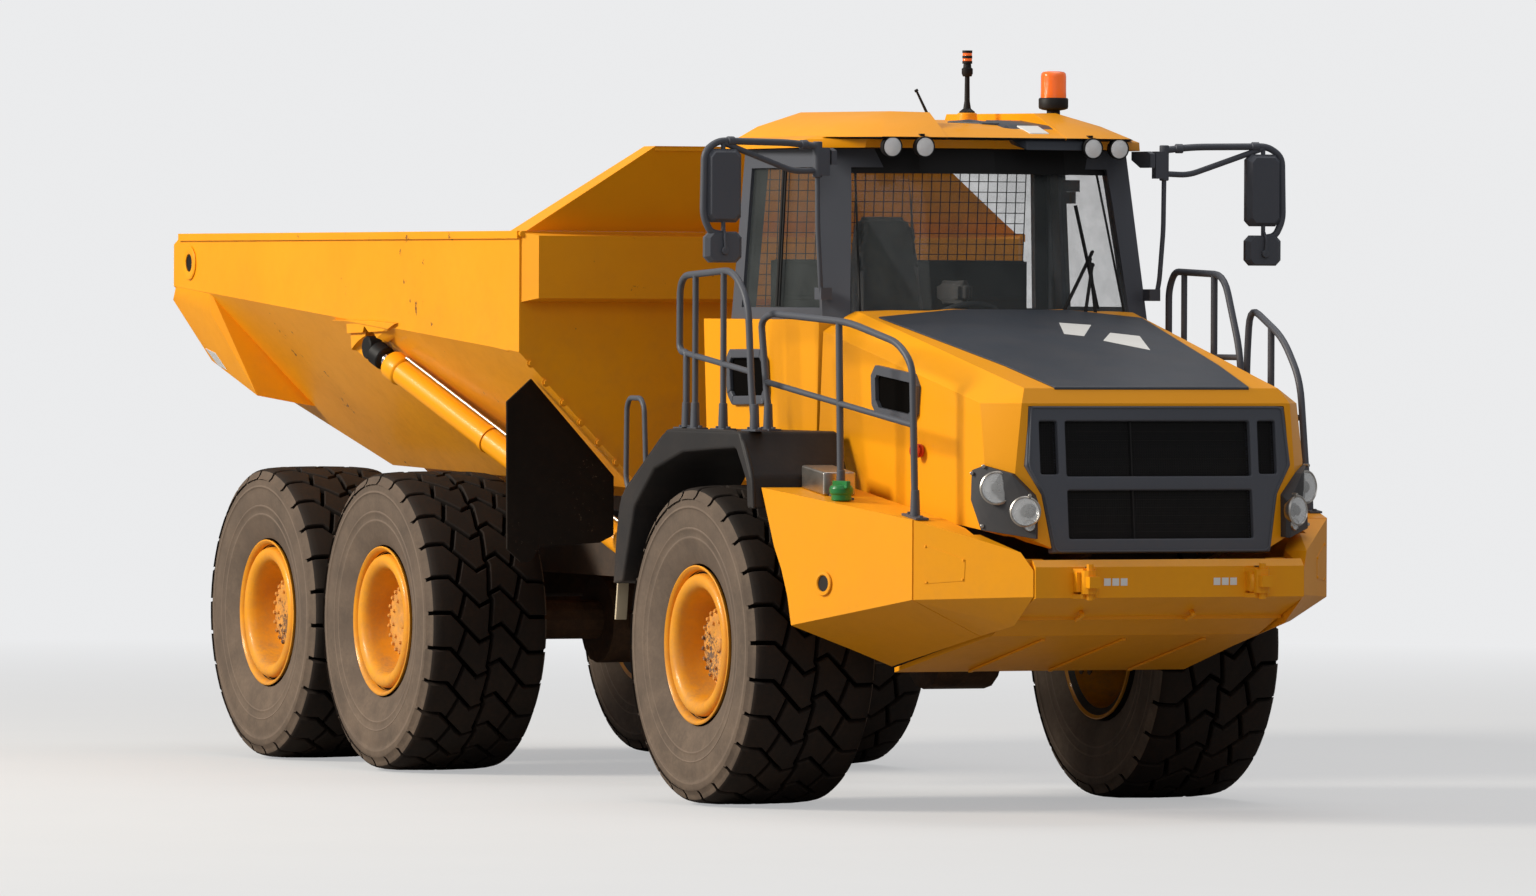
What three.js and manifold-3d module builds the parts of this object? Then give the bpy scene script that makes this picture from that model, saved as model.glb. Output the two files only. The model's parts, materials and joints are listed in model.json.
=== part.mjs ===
// Six-wheel articulated dump truck: a front unit with cab and hood, a turning and rolling hitch,
// and a rear unit with two axles and a tipping body. Millimetres, +X forward, +Y left, +Z up,
// with the origin on the ground under the middle of the bounding box.
import * as THREE from "three";
import { ConvexGeometry } from "three/addons/geometries/ConvexGeometry.js";
import { mergeVertices } from "three/addons/utils/BufferGeometryUtils.js";
import Module from "manifold-3d";

// ---- driving dimensions. Lengths run from the front axle, which is at x = 0 until the last step.
const frontReach = 2600; // front axle to the tip of the tow hooks
const frontWheelbase = 4181; // front axle to middle axle
const bogieSpread = 1670; // middle axle to rear axle
const rearOverhang = 1399; // rear axle to the tail of the body
const tyreOuterWidth = 2942; // over the tyres' outer faces
const tyreRadius = 809;
const tyreWidth = 692;
const tyreSides = 28; // facets round a tyre, so it stands on one of them
const rimRadius = 384;
const hitchX = -1350; // vertical hinge pin between the two units
const rollZ = 1090; // height of the hitch's roll tube
const rollTubeRadius = 125;
const pinPlay = 0.6; // running gap round a hinge pin
const fit = 0.3; // gap between pieces that touch
const frameTop = 1230; // front frame rails
const frameBottom = 950;
const frameHalf = 425; // outer face of the frame rails
const railWall = 90; // width of a frame rail
const railFront = 2150; // front end of the frame rails
const cabHalf = 940;
const cabRear = -1030; // rear of the lower cab body
const cabFloor = 1600;
const cabWall = 40;
const sillZ = 2440; // cab waist, where the glass starts
const roofZ = 3300; // underside of the roof
const doorRear = -620; // door hinge line
const doorFront = 280;
const doorGap = 6;
const doorFoot = 1920; // the door's lower edge, over the mudguard that it swings across
const hoodWall = 36;
const hoodHingeX = 2285;
const hoodHingeZ = 1335;
const fenderHalf = 1492; // outer edge of the front mudguards
const railRadius = 21; // handrail tube
const bodyFront = -2250; // front wall of the tipping body
const bodyHalf = 1450;
const bodyTop = 2890;
const bodyWall = 26;
const floorHalf = 720; // half width of the body's floor
const floorZ = 1545;
const tipZ = 1280; // tipping hinge
const tipSetback = 199; // tipping hinge behind the rear axle
const rearFrameFront = -1950;
const rearFrameTop = 1370;
const rearFrameBottom = 1060;
const bumperInner = 905; // inner face of the bumper sides
const ladderX = -1035; // the access ladder, behind the left front wheel
const ladderInner = 1130;
const ladderWidth = 220;
const ladderDepth = 160;
const barrelRadius = 72;
const barrelLength = 2560;
const tipRodRadius = 42;
const tipRodLength = 2560;
const tipEyeHalf = 48; // half height of a barrel's lower eye
const hubFace = 150; // wheel disc, measured in from the tyre's outer face
const discThickness = 26;
const strutY = 560; // suspension struts
const strutTop = 1330;
const earReach = 210; // half width of the hinge ears
const earGap = 150; // hinge ears from the roll tube's centre height
const earThickness = 60;
const hingePin = 50;
const engineFront = 1950;
const engineRear = 640;
const beamIn = 575; // inner face of a walking beam
const beamOut = 690;
const beamZ = 985;
const keelZ = 1612; // where the body's floor starts to rise to the tail
const tailRise = 0.3585;
const guardHeight = 445; // the guard's top over the body's
const guardLean = 230; // how far the guard's top stands ahead of the body's front wall
const guardHalf = 780; // half width of the guard's top
const flapThickness = 24;
const frameSkin = 46; // wall of the upper cab frame
const bumperHalf = 728;
const bellySkin = 24; // the sloping plate under the frame
const bellyRearX = 1012;
const bellyRearZ = 694;
const bellyFrontX = 1980;
const bellyFrontZ = 902;
const bumperCreaseX = 2475;
const bumperCreaseZ = 1100;
const hookY = 467; // tow hooks
const fenderTop = 1885;
const ledgeRearX = 820; // the bumper side's sloping top: its rear and front ends
const ledgeRearHalf = 1442;
const ledgeRearZ = 1609;
const ledgeFrontX = 1926;
const ledgeFrontHalf = 1133;
const ledgeFrontZ = 1470;
const legLift = 7; // a rail leg ends this far over the sloping top, inside its foot plate
const mirrorY = 1502;

// ---- values worked out from the driving dimensions
const middleAxleX = -frontWheelbase;
const rearAxleX = middleAxleX - bogieSpread;
const bogieX = (middleAxleX + rearAxleX) / 2;
const rearReach = rearOverhang - rearAxleX; // front axle to the tail of the body
const lift = (rearReach - frontReach) / 2; // front axle's place ahead of the origin
const bodyTail = 20 - rearReach;
const keelX = bodyTail + 1350;
const tailX = bodyTail + 120; // rear edge of the floor
const guardTop = bodyTop + guardHeight;
const tipX = rearAxleX - tipSetback;
const rearFrameRear = tipX - 80;
const wheelZ = tyreRadius * Math.cos(Math.PI / tyreSides);
const wheelY = (tyreOuterWidth - tyreWidth) / 2;
const axleEnd = wheelY + tyreWidth / 2 - hubFace - discThickness - pinPlay;
const tubeEnd = rearFrameFront - 90; // rear end of the roll tube
const fenderInner = cabHalf + 12;
const tipBase = [-1990, 640, 1040]; // lower eye of a tipping cylinder, left side
const tipEye = [middleAxleX - 139, bodyHalf - 10, 2270]; // upper eye of a tipping cylinder, left side
// Where the rod's eye wanders on its bracket in the last third of the tipping, as its joints are
// coupled in proportion.
const eyeDrift = [[25, -2, -3], [-70, 18, -18], [-148, 35, -42], [-210, 49, -70]];

// ---- finishes
const paint = { color: 0xf5a81c, roughness: 0.42, metalness: 0.1 };
const chassis = { color: 0x2c2c2e, roughness: 0.7, metalness: 0.2 };
const charcoal = { color: 0x3a3c42, roughness: 0.6, metalness: 0.1 };
const plastic = { color: 0x222325, roughness: 0.75, metalness: 0 };
const rubber = { color: 0x1d1b19, roughness: 0.95, metalness: 0 };
const glass = { color: 0x8fa3a0, roughness: 0.05, metalness: 0, transparent: true, opacity: 0.35 };
const chrome = { color: 0xc9ccd0, roughness: 0.2, metalness: 1 };
const cloth = { color: 0x2b2d33, roughness: 0.9, metalness: 0 };

const wasm = await Module();
wasm.setup();

// ---- solids

function toSolid(geometry) {
  const bare = new THREE.BufferGeometry();
  bare.setAttribute("position", geometry.getAttribute("position"));
  bare.setIndex(geometry.getIndex());
  const merged = mergeVertices(bare, 1e-3);
  return new wasm.Manifold(
    new wasm.Mesh({
      numProp: 3,
      vertProperties: new Float32Array(merged.attributes.position.array),
      triVerts: new Uint32Array(merged.index.array),
    }),
  );
}

function toGeometry(solid) {
  const mesh = solid.getMesh();
  const geometry = new THREE.BufferGeometry();
  geometry.setAttribute("position", new THREE.BufferAttribute(mesh.vertProperties, 3));
  geometry.setIndex(new THREE.BufferAttribute(mesh.triVerts, 1));
  return geometry;
}

function join(...solids) {
  return solids.reduce((whole, next) => whole.add(next));
}

function cut(solid, ...tools) {
  return tools.reduce((left, tool) => left.subtract(tool), solid);
}

// The same solid on the truck's other side.
function mirrored(solid) {
  const geometry = toGeometry(solid);
  geometry.scale(1, -1, 1);
  const index = geometry.getIndex();
  for (let i = 0; i < index.count; i += 3) {
    const kept = index.getX(i);
    index.setX(i, index.getX(i + 1));
    index.setX(i + 1, kept);
  }
  return toSolid(geometry);
}

function box(x0, x1, y0, y1, z0, z1) {
  const geometry = new THREE.BoxGeometry(x1 - x0, y1 - y0, z1 - z0);
  geometry.translate((x0 + x1) / 2, (y0 + y1) / 2, (z0 + z1) / 2);
  return toSolid(geometry);
}

function hull(points) {
  return toSolid(new ConvexGeometry(points.map((p) => new THREE.Vector3(...p))));
}

// The tightest convex solid round some geometries.
function hullOf(...geometries) {
  return hull(geometries.flatMap((geometry) => {
    const place = geometry.getAttribute("position");
    return Array.from({ length: place.count }, (_, i) => [place.getX(i), place.getY(i), place.getZ(i)]);
  }));
}

// Both signs of y for each [x, y, z].
function pairs(points) {
  return points.flatMap(([x, y, z]) => [[x, y, z], [x, -y, z]]);
}

function rod(from, to, radius, sides = 24, endRadius = radius) {
  const start = new THREE.Vector3(...from);
  const end = new THREE.Vector3(...to);
  const geometry = new THREE.CylinderGeometry(endRadius, radius, start.distanceTo(end), sides);
  const turn = new THREE.Quaternion();
  turn.setFromUnitVectors(new THREE.Vector3(0, 1, 0), end.clone().sub(start).normalize());
  geometry.applyQuaternion(turn);
  const middle = start.add(end).multiplyScalar(0.5);
  geometry.translate(middle.x, middle.y, middle.z);
  return toSolid(geometry);
}

function extruded(outline, depth) {
  const shape = new THREE.Shape(outline.map(([a, b]) => new THREE.Vector2(a, b)));
  return new THREE.ExtrudeGeometry(shape, { depth, bevelEnabled: false });
}

// An outline of [x, z] points between two values of y.
function sideOutline(outline, y0, y1) {
  const geometry = extruded(outline, y1 - y0);
  geometry.rotateX(Math.PI / 2);
  geometry.translate(0, y1, 0);
  return toSolid(geometry);
}

// An outline of [y, z] points between two values of x.
function frontOutline(outline, x0, x1) {
  const geometry = extruded(outline, x1 - x0);
  const turn = new THREE.Matrix4().makeBasis(
    new THREE.Vector3(0, 1, 0),
    new THREE.Vector3(0, 0, 1),
    new THREE.Vector3(1, 0, 0),
  );
  geometry.applyMatrix4(turn);
  geometry.translate(x0, 0, 0);
  return toSolid(geometry);
}

// An outline of [x, y] points between two values of z.
function planOutline(outline, z0, z1) {
  const geometry = extruded(outline, z1 - z0);
  geometry.translate(0, 0, z0);
  return toSolid(geometry);
}

// A closed [radius, y] profile turned round the Y axis through (x, z).
function turned(profile, sides, x, z) {
  const points = profile.map(([r, y]) => new THREE.Vector2(r, y));
  const geometry = new THREE.LatheGeometry(points, sides, Math.PI / sides);
  geometry.translate(x, 0, z);
  return toSolid(geometry);
}

// A route of straight legs, for a tube's section to follow corner by corner.
class Route extends THREE.Curve {
  constructor(points) {
    super();
    this.points = points;
  }

  getPoint(t) {
    const along = t * (this.points.length - 1);
    const leg = Math.min(Math.floor(along), this.points.length - 2);
    return this.points[leg].clone().lerp(this.points[leg + 1], along - leg);
  }

  getSpacedPoints() {
    return this.points;
  }

  computeFrenetFrames() {
    const last = this.points.length - 1;
    const tangents = this.points.map((point, i) => {
      const before = this.points[Math.max(i - 1, 0)];
      const after = this.points[Math.min(i + 1, last)];
      return after.clone().sub(before).normalize();
    });
    const across = Math.abs(tangents[0].z) < 0.9 ? new THREE.Vector3(0, 0, 1) : new THREE.Vector3(1, 0, 0);
    const normals = [];
    const binormals = [];
    for (const tangent of tangents) {
      const previous = normals.length ? normals[normals.length - 1] : across;
      const normal = previous.clone().addScaledVector(tangent, -previous.dot(tangent)).normalize();
      normals.push(normal);
      binormals.push(tangent.clone().cross(normal));
    }
    return { tangents, normals, binormals };
  }
}

// Legs with each inner corner rounded by a short curve.
function bent(corners, radius, steps = 2) {
  const points = corners.map((p) => new THREE.Vector3(...p));
  const route = [points[0]];
  for (let i = 1; i < points.length - 1; i++) {
    const corner = points[i];
    const reach = Math.min(radius, corner.distanceTo(points[i - 1]) / 2.2, corner.distanceTo(points[i + 1]) / 2.2);
    const start = corner.clone().lerp(points[i - 1], reach / corner.distanceTo(points[i - 1]));
    const end = corner.clone().lerp(points[i + 1], reach / corner.distanceTo(points[i + 1]));
    route.push(...new THREE.QuadraticBezierCurve3(start, corner, end).getPoints(steps));
  }
  route.push(points[points.length - 1]);
  return route;
}

function tube(corners, radius = railRadius, bend = 110, sides = 6) {
  const route = bent(corners, bend);
  const section = new THREE.Shape();
  section.absarc(0, 0, radius, 0, 2 * Math.PI);
  const outline = new THREE.Shape(section.getSpacedPoints(sides).slice(0, sides));
  const geometry = new THREE.ExtrudeGeometry(outline, {
    steps: route.length - 1,
    bevelEnabled: false,
    extrudePath: new Route(route),
  });
  const solid = toSolid(geometry);
  if (solid.volume() > 0) return solid;
  const index = Uint32Array.from(solid.getMesh().triVerts);
  const flipped = toGeometry(solid);
  for (let i = 0; i < index.length; i += 3) [index[i], index[i + 1]] = [index[i + 1], index[i]];
  flipped.setIndex(new THREE.BufferAttribute(index, 1));
  return toSolid(flipped);
}

// A point part of the way from one point to another.
function between(a, b, share) {
  return a.map((value, i) => value + (b[i] - value) * share);
}

// A point a given distance from one point towards another.
function towards(a, b, distance) {
  const length = Math.hypot(...a.map((value, i) => b[i] - value));
  return between(a, b, distance / length);
}

// ---- wheels and axles

function tyre(x, side) {
  const half = tyreWidth / 2;
  const seat = rimRadius - 14 + fit;
  const profile = [
    [seat, -half + 60],
    [rimRadius + 60, -half + 12],
    [rimRadius + 210, -half],
    [tyreRadius - 70, -half + 12],
    [tyreRadius, -half + 62],
    [tyreRadius, half - 62],
    [tyreRadius - 70, half - 12],
    [rimRadius + 210, half],
    [rimRadius + 60, half - 12],
    [seat, half - 60],
    [seat, -half + 60],
  ];
  const moved = profile.map(([r, y]) => [r, y + side * wheelY]);
  return turned(moved, tyreSides, x, wheelZ);
}

function rim(x, side) {
  const half = tyreWidth / 2;
  const outer = rimRadius - 14;
  const inner = outer - 26;
  const disc = half - hubFace;
  const profile = [
    [0, disc - discThickness],
    [inner, disc - discThickness],
    [inner, -half + 40],
    [outer, -half + 40],
    [outer, half - 58],
    [rimRadius + 8, half - 30],
    [rimRadius + 8, half - 8],
    [rimRadius - 22, half - 8],
    [inner, half - 60],
    [inner, disc],
    [230, disc],
    [215, disc + 46],
    [0, disc + 46],
  ];
  const solid = turned(profile.map(([r, y]) => [r, y + wheelY]), tyreSides, x, wheelZ);
  return side > 0 ? solid : mirrored(solid);
}

// One axle: casing, arms, hubs that carry the wheel discs, and the drive flange.
function axle(x, extras) {
  const casing = rod([x, -170, wheelZ], [x, 170, wheelZ], 235, 16);
  const arms = rod([x, -axleEnd, wheelZ], [x, axleEnd, wheelZ], 105, 12);
  const hubs = [-1, 1].map((side) =>
    rod([x, side * (axleEnd - 250), wheelZ], [x, side * (axleEnd - 0.2), wheelZ], 190, 16));
  const flange = rod([x + 200, 0, wheelZ], [x + 330, 0, wheelZ], 90, 16);
  return join(casing, arms, ...hubs, flange, ...extras);
}

function frontAxle() {
  const struts = [-1, 1].map((side) =>
    rod([0, side * strutY, wheelZ], [0, side * strutY, strutTop], 68, 16));
  const leadingArm = hull(pairs([
    [60, 300, wheelZ - 60],
    [60, 300, wheelZ + 60],
    [1150, 90, frameBottom - 156],
    [1150, 90, frameBottom - 86],
  ]));
  return axle(0, [...struts, leadingArm]);
}

// ---- frames and hitch

function frontFrame() {
  const rails = [-1, 1].map((side) => {
    const outer = side * frameHalf;
    const inner = side * (frameHalf - railWall);
    return box(-1050, railFront, Math.min(outer, inner), Math.max(outer, inner), frameBottom, frameTop);
  });
  const crossPlaces = [[-1050, -960], [-420, -340], [520, 600], [760, 840], [1740, 1820], [2060, railFront]];
  const crosses = crossPlaces.map(([x0, x1]) => box(x0, x1, -frameHalf, frameHalf, frameBottom + 20, frameTop - 20));
  const ears = [-1, 1].map((side) => {
    const inner = rollZ + side * earGap;
    const outer = inner + side * earThickness;
    const z0 = Math.min(inner, outer);
    const z1 = Math.max(inner, outer);
    return planOutline(
      [[-1000, -frameHalf], [-1000, frameHalf], [hitchX, earReach], [hitchX - 150, 110], [hitchX - 150, -110],
        [hitchX, -earReach]],
      z0,
      z1,
    );
  });
  const web = box(-1060, -1000, -frameHalf, frameHalf, rollZ - earGap - earThickness, rollZ + earGap + earThickness);
  const pin = rod([hitchX, 0, rollZ - earGap - 90], [hitchX, 0, rollZ + earGap + 90], hingePin);
  const strutMounts = [-1, 1].map((side) => {
    const y0 = side > 0 ? frameHalf - 20 : -strutY - 90;
    const y1 = side > 0 ? strutY + 90 : -frameHalf + 20;
    const cap = box(-90, 90, y0, y1, strutTop + fit, strutTop + 60);
    const [stem0, stem1] = side > 0 ? [frameHalf - 20, frameHalf + 40] : [-frameHalf - 40, -frameHalf + 20];
    const stem = box(-90, 90, stem0, stem1, frameTop - 120, strutTop + 60);
    return join(cap, stem);
  });
  const cabPosts = [-1, 1].flatMap((side) =>
    [-800, 150].map((x) => {
      const y0 = side > 0 ? frameHalf - 20 : -760;
      const y1 = side > 0 ? 760 : -frameHalf + 20;
      const arm = box(x, x + 110, y0, y1, frameTop - 80, frameTop);
      const post = box(x, x + 110, side > 0 ? 640 : -760, side > 0 ? 760 : -640, frameTop - 80, cabFloor - fit);
      return join(arm, post);
    }));
  const fenderArms = [-1, 1].flatMap((side) => {
    const reach = side * (cabHalf + 12 - fit);
    const span = (from) => [side * from, reach].sort((a, b) => a - b);
    const [rear0, rear1] = span(700);
    const [front0, front1] = span(frameHalf - 20);
    const riser = [side * (frameHalf - 20), side * (frameHalf + 60)].sort((a, b) => a - b);
    return [
      box(-800, -690, rear0, rear1, 1480, 1560),
      box(757, 800, front0, front1, 1505, 1565),
      box(757, 800, riser[0], riser[1], frameTop - 50, 1565),
    ];
  });
  const armPivot = box(1120, 1240, -140, 140, frameBottom - 70, frameBottom + 60);
  const armPlate = box(1120, 1240, -frameHalf, frameHalf, frameBottom, frameBottom + 60);
  const sideArms = [-1, 1].map((side) => {
    const y0 = side > 0 ? frameHalf - 20 : -bumperInner + fit;
    const y1 = side > 0 ? bumperInner - fit : -frameHalf + 20;
    return box(1040, 1130, y0, y1, frameTop - 90, frameTop);
  });
  const hingeEars = [-1, 1].map((side) => {
    const y0 = side > 0 ? 330 : -370;
    return sideOutline(
      [[railFront - 70, frameTop - 40], [railFront, frameTop - 40], [railFront, frameTop + 40],
        [hoodHingeX - 6, hoodHingeZ - 34], [hoodHingeX + 12, hoodHingeZ - 12], [hoodHingeX + 28, hoodHingeZ + 28],
        [hoodHingeX - 40, hoodHingeZ + 28], [railFront - 70, frameTop + 60]],
      y0,
      y0 + 40,
    );
  });
  const ladderArm = box(ladderX - 40, ladderX + 40, frameHalf - 20, ladderInner - fit, 1150, 1230);
  const whole = join(...rails, ...crosses, ...ears, web, pin, ...strutMounts, ...cabPosts, ...fenderArms, armPivot,
    armPlate, ...sideArms, ...hingeEars, ladderArm);
  const rise = bellySkin + 20;
  const room = sideOutline(
    [[bellyRearX - 12, 500], [bellyRearX - 12, bellyRearZ + rise], [bellyFrontX, bellyFrontZ + rise],
      [2300, bellyZ(2300) + rise], [2300, 500]],
    -1000,
    1000,
  );
  return cut(whole, room);
}

function engineBlock() {
  const half = frameHalf - railWall - 35;
  return box(engineRear, engineFront, -half, half, frameTop - 20 + fit, 1830);
}

function hitch() {
  const height = earGap - pinPlay;
  const knuckle = rod([hitchX, 0, rollZ - height], [hitchX, 0, rollZ + height], 150);
  const rollTube = rod([hitchX - 60, 0, rollZ], [tubeEnd, 0, rollZ], rollTubeRadius, 48);
  const collar = rod([rearFrameFront + 100, 0, rollZ], [rearFrameFront + pinPlay, 0, rollZ], rollTubeRadius + 50, 48);
  const holeRadius = hingePin / Math.cos(Math.PI / 24) + pinPlay / 2;
  const pinHole = rod([hitchX, 0, rollZ - 300], [hitchX, 0, rollZ + 300], holeRadius);
  const retainer = rod([tubeEnd - 30, 0, rollZ], [tubeEnd, 0, rollZ], rollTubeRadius + 40, 48);
  return cut(join(knuckle, rollTube, collar, retainer), pinHole);
}

function rearFrame() {
  const rails = [-1, 1].map((side) => {
    const outer = side * (frameHalf + 20);
    const inner = side * (frameHalf + 20 - railWall);
    return box(rearFrameRear, rearFrameFront, Math.min(outer, inner), Math.max(outer, inner), rearFrameBottom,
      rearFrameTop);
  });
  const half = frameHalf + 20;
  const nose = box(rearFrameFront - 90 + pinPlay, rearFrameFront, -half, half, rollZ - 190, rearFrameTop);
  const crossPlaces = [-3450, bogieX - 60, rearAxleX];
  const crosses = crossPlaces.map((x) => box(x, x + 120, -half, half, rearFrameBottom + 20, rearFrameTop - 40));
  const hole = rod([rearFrameFront - 200, 0, rollZ], [rearFrameFront + 50, 0, rollZ],
    rollTubeRadius / Math.cos(Math.PI / 48) + pinPlay / 2, 48);
  const beamShaft = rod([bogieX, -beamIn + 0.5, beamZ], [bogieX, beamIn - 0.5, beamZ], 80, 24);
  const beamHanger = box(bogieX - 110, bogieX + 110, -half, half, beamZ - 60, rearFrameBottom + 60);
  const cylinderArms = [-1, 1].map((side) => {
    const z1 = tipBase[2] - tipEyeHalf - pinPlay;
    const outer = side * (tipBase[1] + 50);
    const y0 = side > 0 ? half - 40 : outer;
    const y1 = side > 0 ? outer : -half + 40;
    const shelf = box(tipBase[0] - 60, rearFrameFront - fit, y0, y1, z1 - 40, z1);
    const middle = side * half;
    const cheek = box(tipBase[0] - 60, rearFrameFront, middle - 40, middle + 40, z1 - 40, rearFrameBottom + 80);
    return join(shelf, cheek);
  });
  return join(cut(join(...rails, nose, ...crosses), hole), beamShaft, beamHanger, ...cylinderArms);
}

// One walking beam, whose ends sit on the two rear axles' arms.
function walkingBeam(side) {
  const seat = wheelZ + 105 + fit;
  const outline = [
    [middleAxleX + 120, seat],
    [middleAxleX + 120, seat + 70],
    [bogieX + 130, beamZ + 130],
    [bogieX - 130, beamZ + 130],
    [rearAxleX - 120, seat + 70],
    [rearAxleX - 120, seat],
    [rearAxleX + 140, seat],
    [bogieX - 130, beamZ - 120],
    [bogieX + 130, beamZ - 120],
    [middleAxleX - 140, seat],
  ];
  const y0 = side > 0 ? beamIn : -beamOut;
  return sideOutline(outline, y0, y0 + beamOut - beamIn);
}

// ---- tipping body

// Height of the bottom edge of the body's upright side band.
function bandZ(x) {
  return 2260 + (bodyFront - x) * 0.0676;
}

// Half width of the sloping body side at a height.
function slopeHalf(x, z) {
  return bodyHalf - (bandZ(x) - z) / 1.077;
}

function bodyHull(inset, extraTop, extraRear) {
  const rear = tailX - extraRear;
  const tailFloorZ = keelZ + (keelX - rear) * tailRise + inset * 1.1;
  const edge = bodyHalf - inset;
  const slide = inset * 1.2;
  return hull(pairs([
    [bodyFront - inset, edge, bodyTop + extraTop],
    [bodyFront - inset, edge, bandZ(bodyFront) + inset * 0.4],
    [bodyFront - inset, floorHalf + 30 - slide * 0.4, floorZ + inset],
    [keelX, floorHalf - 50 - slide * 0.4, keelZ + inset],
    [rear, slopeHalf(rear, tailFloorZ) - slide, tailFloorZ],
    [bodyTail - extraRear, edge, bandZ(bodyTail - extraRear) + inset * 0.4],
    [bodyTail - extraRear, edge, bodyTop - 60 + (extraTop ? extraTop + 60 : 0)],
    [bodyTail + 120 - extraRear, edge, bodyTop - 10 + (extraTop ? extraTop + 10 : 0)],
  ]));
}

function tippingBody() {
  const shell = cut(bodyHull(0, 0, 0), bodyHull(bodyWall, 400, 400));
  const rib = hull(pairs([
    [bodyFront + 2, bodyHalf - 12, bodyTop - 10],
    [bodyFront + 2, bodyHalf - 12, bodyTop - 370],
    [bodyFront + 95, bodyHalf - 70, bodyTop - 25],
    [bodyFront + 95, bodyHalf - 70, bodyTop - 350],
    [bodyFront - 10, bodyHalf - 12, bodyTop - 10],
    [bodyFront - 10, bodyHalf - 12, bodyTop - 370],
  ]));
  const lips = [-1, 1].map((side) => {
    const y0 = side > 0 ? bodyHalf - 60 : -bodyHalf - 14;
    return sideOutline(
      [[bodyTail + 100, bodyTop - 40], [bodyFront, bodyTop - 40], [bodyFront, bodyTop], [bodyTail + 100, bodyTop]],
      y0,
      y0 + 74,
    );
  });
  const tailPosts = [-1, 1].map((side) => hull([
    [540, 2, 2590], [25, 2, 2590], [540, 70, 2590], [25, 70, 2590], [-20, 4, 2520], [130, 180, 2180],
    [750, 210, 1990], [550, 14, 2440], [150, 510, 2050], [790, 550, 1930], [170, 410, 2075], [790, 450, 1945],
  ].map(([ahead, inward, z]) => [bodyTail + ahead, side * (bodyHalf - inward), z])));
  const floorBeams = [-1, 1].map((side) => {
    const y0 = side > 0 ? 250 : -350;
    return sideOutline(
      [[bodyFront - 150, floorZ + 10], [bodyFront - 150, floorZ - 60], [keelX - 20, floorZ - 60],
        [keelX - 370, floorZ + 60], [keelX - 370, keelZ + 140], [keelX, keelZ + 10]],
      y0,
      y0 + 100,
    );
  });
  const lugs = [-1, 1].map((side) => {
    const inner = frameHalf + 20 - railWall - pinPlay;
    const y0 = side > 0 ? 285 : -inner;
    const y1 = side > 0 ? inner : -285;
    return sideOutline(
      [[tipX - 70, tipZ - 60], [tipX + 70, tipZ - 60], [tipX + 180, floorZ + 20], [tipX - 190, floorZ + 20]],
      y0,
      y1,
    );
  });
  const brackets = [-1, 1].map((side) => {
    const [x, y, z] = tipEye;
    return hull([
      [x - 90, y - 40, bandZ(x) + 10], [x + 470, y - 40, bandZ(x) - 10], [x - 90, y + 5, bandZ(x) + 60],
      [x + 470, y + 5, bandZ(x) + 40], [x - 330, y - 10, bandZ(x) + 40], [x - 110, y + 5, z + 75],
      [x - 110, y - 130, z + 35], [x + 200, y + 5, z + 90], [x + 200, y - 60, z + 80], [x - 330, y - 150, z + 20],
      [x - 260, y + 5, z - 20], [x - 180, y - 40, z - 60], [x - 200, y + 5, z - 40],
    ].map(([a, b, c]) => [a, side * b, c]));
  });
  const whole = join(shell, rib, ...lips, ...tailPosts, ...floorBeams, ...lugs, ...brackets);
  const eyeRoom = [-1, 1].map((side) => {
    const eye = [tipEye[0], side * tipEye[1], tipEye[2]];
    const base = [tipBase[0], side * tipBase[1], tipBase[2]];
    return rod(towards(base, eye, 2300), towards(eye, base, -85), barrelRadius + 22, 20);
  });
  const driftRoom = [-1, 1].flatMap((side) => {
    const rounds = eyeDrift.map(([dx, dy, dz]) => new THREE.CylinderGeometry(79, 79, 130, 20)
      .translate(tipEye[0] + dx, side * (tipEye[1] + dy - 5), tipEye[2] + dz));
    return rounds.slice(1).map((round, i) => hullOf(rounds[i], round));
  });
  const hollow = bodyHull(bodyWall, 400, 400);
  return cut(whole, ...eyeRoom, ...driftRoom, hollow);
}

function bodyGuard() {
  const foot = bodyTop + fit;
  const plate = hull(pairs([
    [bodyFront + 2, bodyHalf - 40, foot],
    [bodyFront - 30, bodyHalf - 40, foot],
    [bodyFront + guardLean, guardHalf, guardTop],
    [bodyFront + guardLean - 32, guardHalf, guardTop],
  ]));
  const lips = [-1, 1].map((side) => hull([
    [bodyFront - 30, bodyHalf - 60, foot], [bodyFront + 4, bodyHalf - 38, foot],
    [bodyFront + 4, bodyHalf - 60, foot], [bodyFront - 220, bodyHalf - 40, foot],
    [bodyFront - 220, bodyHalf - 60, foot], [bodyFront + guardLean - 30, guardHalf, guardTop],
    [bodyFront + guardLean - 30, guardHalf - 24, guardTop], [bodyFront + guardLean - 150, guardHalf, guardTop],
    [bodyFront + guardLean - 150, guardHalf - 24, guardTop],
  ].map(([x, y, z]) => [x, side * y, z])));
  const crown = box(bodyFront + guardLean - 150, bodyFront + guardLean - 4, -guardHalf, guardHalf, guardTop - 24,
    guardTop);
  return join(plate, ...lips, crown);
}

function mudFlap(side) {
  const x0 = bodyFront - 150;
  const outline = [
    [-10, 2000], [126, 2120], [270, 1965], [600, 1610], [600, 1300], [180, 1239], [140, 1175], [70, 1161], [-10, 1230],
  ].map(([inward, z]) => [bodyHalf - inward, z]);
  return frontOutline(outline.map(([y, z]) => [side * y, z]), x0, x0 + flapThickness);
}

// ---- tipping cylinders, left side

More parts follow.
